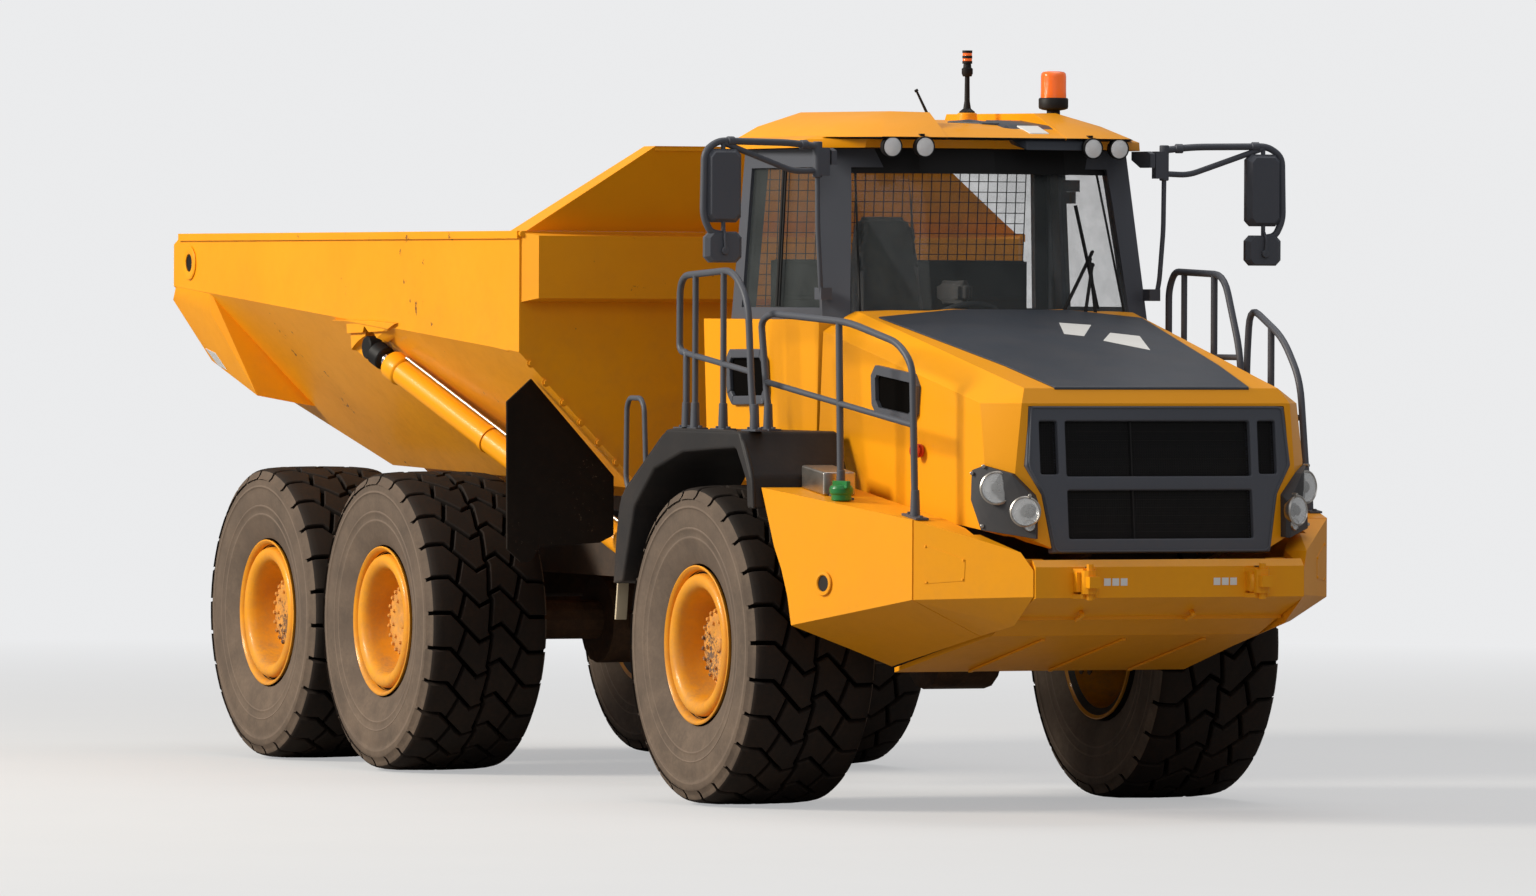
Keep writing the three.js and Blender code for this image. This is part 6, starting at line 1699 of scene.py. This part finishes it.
@dataclass
class Front:
    """Bumper, mudguards, rails and ladder."""

    seam: float = 1.93
    rail: float = 0.0175
    fender_top: float = 1.885
    hatch: Outline = ((1.976, 1.352), (1.983, 1.16), (2.16, 1.178), (2.163, 1.282))
    hole: Point = (1.287, -1.311, 1.145)
    hook_y: float = 0.467

    def build(self) -> None:
        """Makes all of it."""
        self.bumper()
        both_sides(self.corner)
        both_sides(self.fender)
        self.rails()
        self.ledge_parts()
        settle(softened("access_ladder", "ladder", looks(Finish.CHARCOAL), 0.004), "front_unit", "charcoal_paint",
            "access_ladder")

    def ledge(self, x: float) -> float:
        """Height of the bumper side's sloping top."""
        return 1.609 - (x - 0.82) * 0.139 / 1.106

    def bumper(self) -> None:
        """The middle of the bumper, with hooks, pins, markers and belly bars."""
        settle(softened("front_bumper", "bumper_middle", looks(Finish.YELLOW), 0.01), "front_unit", "yellow_paint",
            "front_bumper")
        shape = Shape()
        for side in SIDES.values():
            y = side * self.hook_y
            for z in (1.108, 1.232):
                shape.hull([(x, y + b, z + c) for x, b in ((2.472, -0.068), (2.472, 0.068), (2.53, -0.034),
                    (2.53, 0.034)) for c in (-0.011, 0.011)])
            shape.rod((2.508, y - side * 0.01, 1.094), (2.508, y - side * 0.01, 1.248), 0.014)
            shape.lathe([(0.03, -0.013), (0.05, -0.013), (0.055, -0.006), (0.055, 0.006), (0.05, 0.013), (0.03, 0.013),
                (0.026, 0.0), (0.03, -0.013)], (2.486, y - side * 0.03, 1.17), Vector((0.35, side * 0.94, 0)), 36)
            shape.finish = 1
            shape.rod((2.508, y - side * 0.01, 1.248), (2.508, y - side * 0.01, 1.252), 0.02, None, 20)
            for k in range(3):
                at = y - side * (0.125 + 0.045 * k)
                shape.finish = 2
                shape.box((2.4752, at - 0.018, 1.158), (2.4765, at + 0.018, 1.194))
            shape.finish = 0
            shape.tube([(2.3, side * 0.3 - 0.1, 1.028), (2.33, side * 0.3 - 0.1, 1.012),
                (2.25, side * 0.3 - 0.1, 0.985)], 0.011, 0.02)
        settle(shape.to_object("bumper_fittings", looks(Finish.YELLOW, Finish.BLACK, Finish.WHITE), 0.002),
            "front_unit", "yellow_paint")
        skirt = Shape()
        for side in SIDES.values():
            skirt.hull([(x, side * y, z) for x, y in ((2.06, 0.895), (2.3, 0.7), (2.06, 0.86), (2.3, 0.6))
                for z in (1.255, 1.285)])
        settle(skirt.to_object("bumper_skirt", looks(Finish.YELLOW), 0.004), "front_unit", "yellow_paint")
        belly = Shape()
        slope = (0.902 - 0.694) / (1.98 - 1.012)
        for y in (-0.42, 0.02, 0.46):
            belly.hull([(x, y + dy, 0.694 + (x - 1.012) * slope - lift) for x in (1.06, 1.9) for dy in (0.0, 0.022)
                for lift in (0.0015, 0.014)])
        settle(belly.to_object("belly_straps", looks(Finish.YELLOW), 0.002), "front_unit", "yellow_paint")

    def corner(self, name: str, side: int) -> None:
        """A bumper side as two plates with a seam, its hatch and its tie-down eye."""
        node = f"bumper_side_{name}"
        whole = Shape()
        for ahead in (True, False):
            made = frame_copy(node)
            bmesh.ops.bisect_plane(made, geom=made.verts[:] + made.edges[:] + made.faces[:],
                plane_co=(self.seam + (0.003 if ahead else -0.003), 0, 0), plane_no=(1, 0, 0), clear_inner=ahead,
                clear_outer=not ahead)
            bmesh.ops.holes_fill(made, edges=[e for e in made.edges if e.is_boundary])
            bmesh.ops.recalc_face_normals(made, faces=made.faces)
            whole.absorb(made)
        settle(whole.to_object(f"bumper_plates_{name}", looks(Finish.YELLOW), 0.011, 3), "front_unit", "yellow_paint",
            node)
        facing = (0.35, side * 0.93, 0.0)
        hatch = patch(node, facing, Plane.SIDE, self.hatch, 0.0022)
        settle(hatch.to_object(f"corner_hatch_{name}", looks(Finish.YELLOW), 0.0008), "front_unit", "yellow_paint")
        spots = [Vector((x, 0, z)) for x, z in self.hatch]
        middle = sum(spots, Vector()) / 4
        bolts(f"hatch_bolts_{name}", [((*self.on(node, facing, p.lerp(middle, 0.1)),), facing) for p in spots], 0.0065,
            0.005, Finish.YELLOW, "front_unit", "yellow_paint", 1.3)
        x, y, z = self.hole
        at = self.on(node, (0.27, side * 0.96, 0.0), Vector((x, 0, z)))
        way = Vector((0.27, side * 0.96, 0.02)).normalized()
        ring = Shape()
        ring.lathe([(0.04, 0.001), (0.058, 0.001), (0.0615, 0.006), (0.058, 0.011), (0.044, 0.012), (0.04, 0.008),
            (0.04, 0.001)], at, way, 36)
        # The black disc inside the ring is painted shade for the tie-down's hole.
        ring.finish = 1
        ring.lathe([(0, 0.0015), (0.0405, 0.0015), (0.0405, 0.003), (0, 0.003)], at, way, 28)
        settle(ring.to_object(f"tie_down_{name}", looks(Finish.YELLOW, Finish.BLACK)), "front_unit", "yellow_paint")

    @staticmethod
    def on(node: str, facing: Point, spot: Vector) -> Vector:
        """The point of a node's outside that is in line with a spot, seen from one side."""
        made = frame_copy(node)
        tree = BVHTree.FromBMesh(made)
        made.free()
        side = math.copysign(1.0, facing[1])
        hit = tree.ray_cast(Vector((spot.x, side * 3.0, spot.z)), Vector((0, -side, 0)))[0]
        return hit if hit is not None else Vector((spot.x, side, spot.z))

    def fender(self, name: str, side: int) -> None:
        """A mudguard with its rolled lip, grab loop and marker strip."""
        settle(softened(f"fender_{name}", f"mudguard_{name}", looks(Finish.FENDER), 0.016), "front_unit",
            "dark_plastic", f"fender_{name}")
        lip = Shape()
        path = [(-0.905, 1.095), (-0.871, 1.343), (-0.824, 1.536), (-0.247, 1.88), (0.652, 1.88), (0.793, 1.662),
            (0.806, 1.508)]
        lip.tube([(x, side * 1.477, z) for x, z in path], 0.0115, 0.1, 12)
        settle(lip.to_object(f"mudguard_lip_{name}", looks(Finish.FENDER)), "front_unit", "dark_plastic")
        loop = Shape()
        y = side * 1.4
        loop.tube([(-0.845, y, 1.5), (-0.96, y, 1.6), (-0.95, y, 1.99), (-0.915, y, 2.035), (-0.775, y, 2.035),
            (-0.73, y, 1.99), (-0.7, y, 1.6)], 0.0135, 0.06, 12)
        settle(loop.to_object(f"grab_loop_{name}", looks(Finish.CHARCOAL)), "front_unit", "charcoal_paint")
        strip = Shape()
        strip.prism([(-0.958, 0.905), (-0.94, 0.905), (-0.912, 1.1), (-0.926, 1.1)], Plane.SIDE, side * 1.4, side
            * 1.462)
        settle(strip.to_object(f"guard_tip_{name}", looks(Finish.MARKER), 0.003), "front_unit", "dark_plastic")

    def rails(self) -> None:
        """The handrails, each tube with its feet, in place of the frame's."""
        up = self.fender_top + 0.0005

        def post(shape: Shape, x: float, y: float, top: float, top_x: float | None = None) -> None:
            """A post on the bumper side's top, with its bolted foot."""
            foot = self.ledge(x) + 0.006
            shape.tube([(x, y, foot), (x if top_x is None else top_x, y, top)], self.rail, 0.05, 16)
            shoe(shape, x, y)

        def shoe(shape: Shape, x: float, y: float, level: float | None = None) -> None:
            """A flat foot plate with two bolts and a gusset."""
            def at(dx: float) -> float:
                """The plate's underside."""
                return (self.ledge(x + dx) if level is None else level) + 0.001
            shape.hull([(x + dx, y + dy, at(dx) + lift) for dx in (-0.085, 0.085) for dy in (-0.034, 0.034)
                for lift in (0, 0.01)])
            shape.rod((x, y, at(0) + 0.006), (x, y, at(0) + 0.135), self.rail * 1.45, self.rail * 1.2, 20, 0.1)
            for dx in (-0.066, 0.066):
                shape.rod((x + dx, y, at(dx) + 0.008), (x + dx, y, at(dx) + 0.02), 0.011, None, 6)

        shape = Shape()
        y = -1.4
        shape.tube([(-0.2, y, up), (-0.2, y, 2.273), (-0.257, y, 2.273), (-0.286, y, 2.3), (-0.286, y, 2.656),
            (0.37, y, 2.686), (0.555, y, 2.537), (0.6, y, 2.1), (0.64, y, up)], self.rail, 0.11, 16)
        for x, top in ((-0.091, 2.665), (0.256, 2.68)):
            shape.tube([(x, y, up), (x, y, top)], self.rail * 0.9, 0.05, 14)
        shape.tube([(-0.257, y, 2.273), (0.588, y, 2.18)], self.rail * 0.85, 0.05, 14)
        for x in (-0.2, -0.091, 0.256, 0.64):
            shoe(shape, x, y, up - 0.0012)
        settle(shape.to_object("guard_rail_right", looks(Finish.CHARCOAL)), "front_unit", "charcoal_paint",
            "fender_rail_right")

        def along(x: float, z: float) -> Point:
            """A point of the long rail."""
            return (x, -1.25 + (x - 0.6) * 0.13, z)

        shape = Shape()
        shape.tube([(0.5, -1.263, up), (0.5, -1.263, 1.99), (0.43, -1.272, 2.43), (0.52, -1.26, 2.47),
            along(1.24, 2.43), along(1.7, 2.33), along(1.83, 2.224), (1.857, -1.085, self.ledge(1.857) + 0.006)],
            self.rail, 0.11, 16)
        shape.tube([(0.475, -1.266, 2.13), along(1.838, 1.93)], self.rail * 0.85, 0.05, 14)
        post(shape, 1.18, along(1.18, 0)[1], 2.43, 1.15)
        shoe(shape, 1.857, -1.085)
        shoe(shape, 0.5, -1.263, up - 0.0012)
        settle(shape.to_object("long_rail_right", looks(Finish.CHARCOAL)), "front_unit", "charcoal_paint",
            "front_rail_right")
        shape = Shape()
        y = 1.015
        shape.tube([(0.385, y, up), (0.385, y, 2.6), (0.45, y, 2.69), (1.01, y, 2.674), (1.195, y, 2.28),
            (1.24, y, self.ledge(1.24) + 0.006)], self.rail, 0.11, 16)
        shape.tube([(0.56, y, up), (0.56, y, 2.682)], self.rail * 0.9, 0.05, 14)
        shape.tube([(0.385, y, 2.26), (1.185, y, 2.26)], self.rail * 0.85, 0.05, 14)
        post(shape, 0.9, y, 2.672)
        shoe(shape, 1.24, y)
        settle(shape.to_object("guard_rail_left", looks(Finish.CHARCOAL)), "front_unit", "charcoal_paint",
            "fender_rail_left")
        shape = Shape()
        y = 1.15
        shape.tube([(1.0, y, self.ledge(1.0) + 0.006), (1.0, y, 2.236), (1.033, y, 2.518), (1.401, y, 2.359),
            (1.591, y, 2.151), (1.69, y, self.ledge(1.69) + 0.006)], self.rail, 0.11, 16)
        shape.tube([(1.0, y, 2.0), (1.615, y, 1.96)], self.rail * 0.85, 0.05, 14)
        post(shape, 1.27, y, 2.41)
        shoe(shape, 1.0, y)
        shoe(shape, 1.69, y)
        settle(shape.to_object("short_rail_left", looks(Finish.CHARCOAL)), "front_unit", "charcoal_paint",
            "front_rail_left")

    def ledge_parts(self) -> None:
        """Filler cap and box on the right side's ledge."""
        shape = Shape()
        x, y = 1.276, -1.215
        z = self.ledge(x)
        shape.lathe([(0, 0), (0.05, 0), (0.05, 0.03), (0.058, 0.034), (0.06, 0.06), (0.052, 0.076), (0, 0.08)],
            (x, y, z), Vector((0, 0, 1)), 32)
        shape.hull([(x + a, y + b, z + c) for a in (-0.085, 0.085) for b in (-0.012, 0.012) for c in (0.06, 0.098)])
        settle(shape.to_object("filler_cap", looks(Finish.GREEN), 0.006), "front_unit", "yellow_paint")
        box = Shape()
        box.hull([(x, y, z + lift) for x, z in ((0.84, 1.606), (1.11, 1.574)) for y in (-1.235, -1.06)
            for lift in (0.0, 0.115)])
        settle(box.to_object("ledge_box", looks(Finish.STEEL), 0.01), "front_unit", "charcoal_paint")


@dataclass
class Chassis:
    """Frames, hitch, axles and engine."""

    bolt_circle: float = 0.155
    bodies: dict[str, tuple[str, str, Finish]] = field(default_factory=lambda: {"front_frame": ("frame_front",
        "front_unit", Finish.CHASSIS), "front_axle": ("axle_front", "front_unit", Finish.IRON),
        "engine_block": ("engine", "front_unit", Finish.CHASSIS), "hitch": ("hitch_block", "hitch", Finish.CHASSIS),
        "rear_frame": ("frame_rear", "rear_unit", Finish.CHASSIS), "middle_axle": ("axle_middle", "rear_unit",
        Finish.IRON), "rear_axle": ("axle_rear", "rear_unit", Finish.IRON), "walking_beam_left": ("beam_left",
        "rear_unit", Finish.IRON), "walking_beam_right": ("beam_right", "rear_unit", Finish.IRON)})

    def build(self) -> None:
        """Dresses the frame's own shapes and adds bolts round the axles' flanges."""
        for node, (name, body, finish) in self.bodies.items():
            settle(softened(node, name, looks(finish), 0.008), body, "dark_chassis", node)
        for node, body in (("front_axle", "front_unit"), ("middle_axle", "rear_unit"), ("rear_axle", "rear_unit")):
            low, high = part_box(node)
            centre = Vector(((low.x + high.x) / 2 - FRONT_AXLE, 0, 0.804))
            places = []
            for side in SIDES.values():
                for k in range(10):
                    turn = math.tau * k / 10
                    spot = centre + Vector((self.bolt_circle * math.cos(turn), side * 0.74, self.bolt_circle
                        * math.sin(turn)))
                    places.append((spot, (0, side, 0)))
            if node == "front_axle":
                places = [(Vector((0, p.y, p.z)) + Vector((p.x - centre.x, 0, 0)), way) for p, way in places]
            bolts(f"{node}_bolts", places, 0.014, 0.012, Finish.IRON, body, "dark_chassis")


@dataclass
class Studio:
    """The camera, the floor and the lamps."""

    lens: float = 258.8
    spot: Point = (50.669, -23.809, 2.56)
    yaw: float = 24.199
    pitch: float = -0.792
    roll: float = 0.263
    reach: float = 260.0
    backdrop: Colour = (0.83, 0.835, 0.845)

    def camera(self) -> None:
        """Puts the camera in place."""
        data = bpy.data.cameras.new("camera")
        data.sensor_width, data.lens, data.clip_end = 36.0, self.lens, 500.0
        yaw, pitch, roll = (math.radians(a) for a in (self.yaw, self.pitch, self.roll))
        ahead = Vector((-math.cos(yaw) * math.cos(pitch), math.sin(yaw) * math.cos(pitch), math.sin(pitch)))
        right = ahead.cross(Vector((0, 0, 1))).normalized()
        up = right.cross(ahead)
        side = right * math.cos(roll) + up * math.sin(roll)
        top = up * math.cos(roll) - right * math.sin(roll)
        turn = Matrix((side, top, -ahead)).transposed().to_4x4()
        piece = bpy.data.objects.new("camera", data)
        piece.matrix_world = Matrix.Translation(place(self.spot)) @ turn
        shown(piece)
        bpy.context.scene.camera = piece

    @staticmethod
    def lamp(name: str, spot: Point, target: Point, size: float, power: float, colour: Colour) -> None:
        """A square area lamp that faces a target."""
        data = bpy.data.lights.new(name, "AREA")
        data.size, data.energy, data.color = size, power, colour
        piece = bpy.data.objects.new(name, data)
        way = Vector(target) - Vector(spot)
        piece.matrix_world = Matrix.Translation(place(spot)) @ way.to_track_quat("-Z", "Y").to_matrix().to_4x4()
        shown(piece)

    def light(self) -> None:
        """Sets the world and the lamps."""
        world = bpy.data.worlds.new("studio")
        bpy.context.scene.world = world
        world.use_nodes = True
        sheet = Sheet(world.node_tree)
        rays = sheet.node("ShaderNodeLightPath")
        seen = sheet.math("MAXIMUM", rays.outputs["Is Camera Ray"], rays.outputs["Is Transmission Ray"])
        tone = sheet.mix(seen, (0.31, 0.31, 0.315, 1), rgba(self.backdrop))
        back = sheet.node("ShaderNodeBackground", None, Color=tone, Strength=1.0)
        sheet.node("ShaderNodeOutputWorld", None, Surface=back.outputs[0])
        self.lamp("key_lamp", (-6.0, -24.0, 14.0), (-1.5, 0.0, 1.4), 8.0, 8300.0, (1.0, 0.93, 0.82))
        self.lamp("front_lamp", (21.0, -5.0, 15.0), (0.0, 0.0, 1.8), 12.0, 600.0, (0.97, 0.97, 1.0))
        self.lamp("top_lamp", (-2.0, 3.0, 18.0), (-2.0, 0.0, 1.4), 12.0, 1000.0, (1.0, 1.0, 1.0))

    def floor(self) -> None:
        """Lays a plain pale flat floor that fades into the backdrop's colour far off."""
        material, sheet = begun("studio_floor")
        spot = sheet.spot()
        shade = sheet.mix(sheet.noise(spot, 0.8), (0.62, 0.62, 0.615, 1), (0.66, 0.66, 0.655, 1))
        rays = sheet.node("ShaderNodeLightPath").outputs["Is Camera Ray"]
        shade = sheet.mix(rays, (0.3, 0.29, 0.28, 1), shade)
        shader = sheet.node("ShaderNodeBsdfPrincipled", None, Base_Color=shade, Roughness=0.9)
        glow = sheet.node("ShaderNodeEmission", None, Color=rgba(self.backdrop), Strength=1.0)
        distance = sheet.node("ShaderNodeVectorMath", {"operation": "LENGTH"}, i0=spot).outputs["Value"]
        far = sheet.math("MULTIPLY", sheet.spread(distance, 7.0, 24.0, 0.5), rays)
        blend = sheet.node("ShaderNodeMixShader", None, i0=far, i1=shader.outputs[0], i2=glow.outputs[0])
        sheet.node("ShaderNodeOutputMaterial", None, Surface=blend.outputs[0])
        mesh = bpy.data.meshes.new("studio_floor")
        r, low = self.reach, -0.002
        mesh.from_pydata([(-r, -r, low), (r, -r, low), (r, r, low), (-r, r, low)], [], [(0, 1, 2, 3)])
        mesh.materials.append(material)
        piece = bpy.data.objects.new("studio_floor", mesh)
        shown(piece)


def main() -> None:
    """Builds the studio and every sub-assembly in order."""
    logging.basicConfig(level=logging.INFO, format="%(message)s")
    bpy.context.scene.view_settings.view_transform = "Standard"
    studio = Studio()
    studio.camera()
    studio.light()
    studio.floor()
    for assembly in (Wheels, TippingBody, Cab, Hood, Front, Chassis):
        assembly().build()


if __name__ == "__main__":
    main()
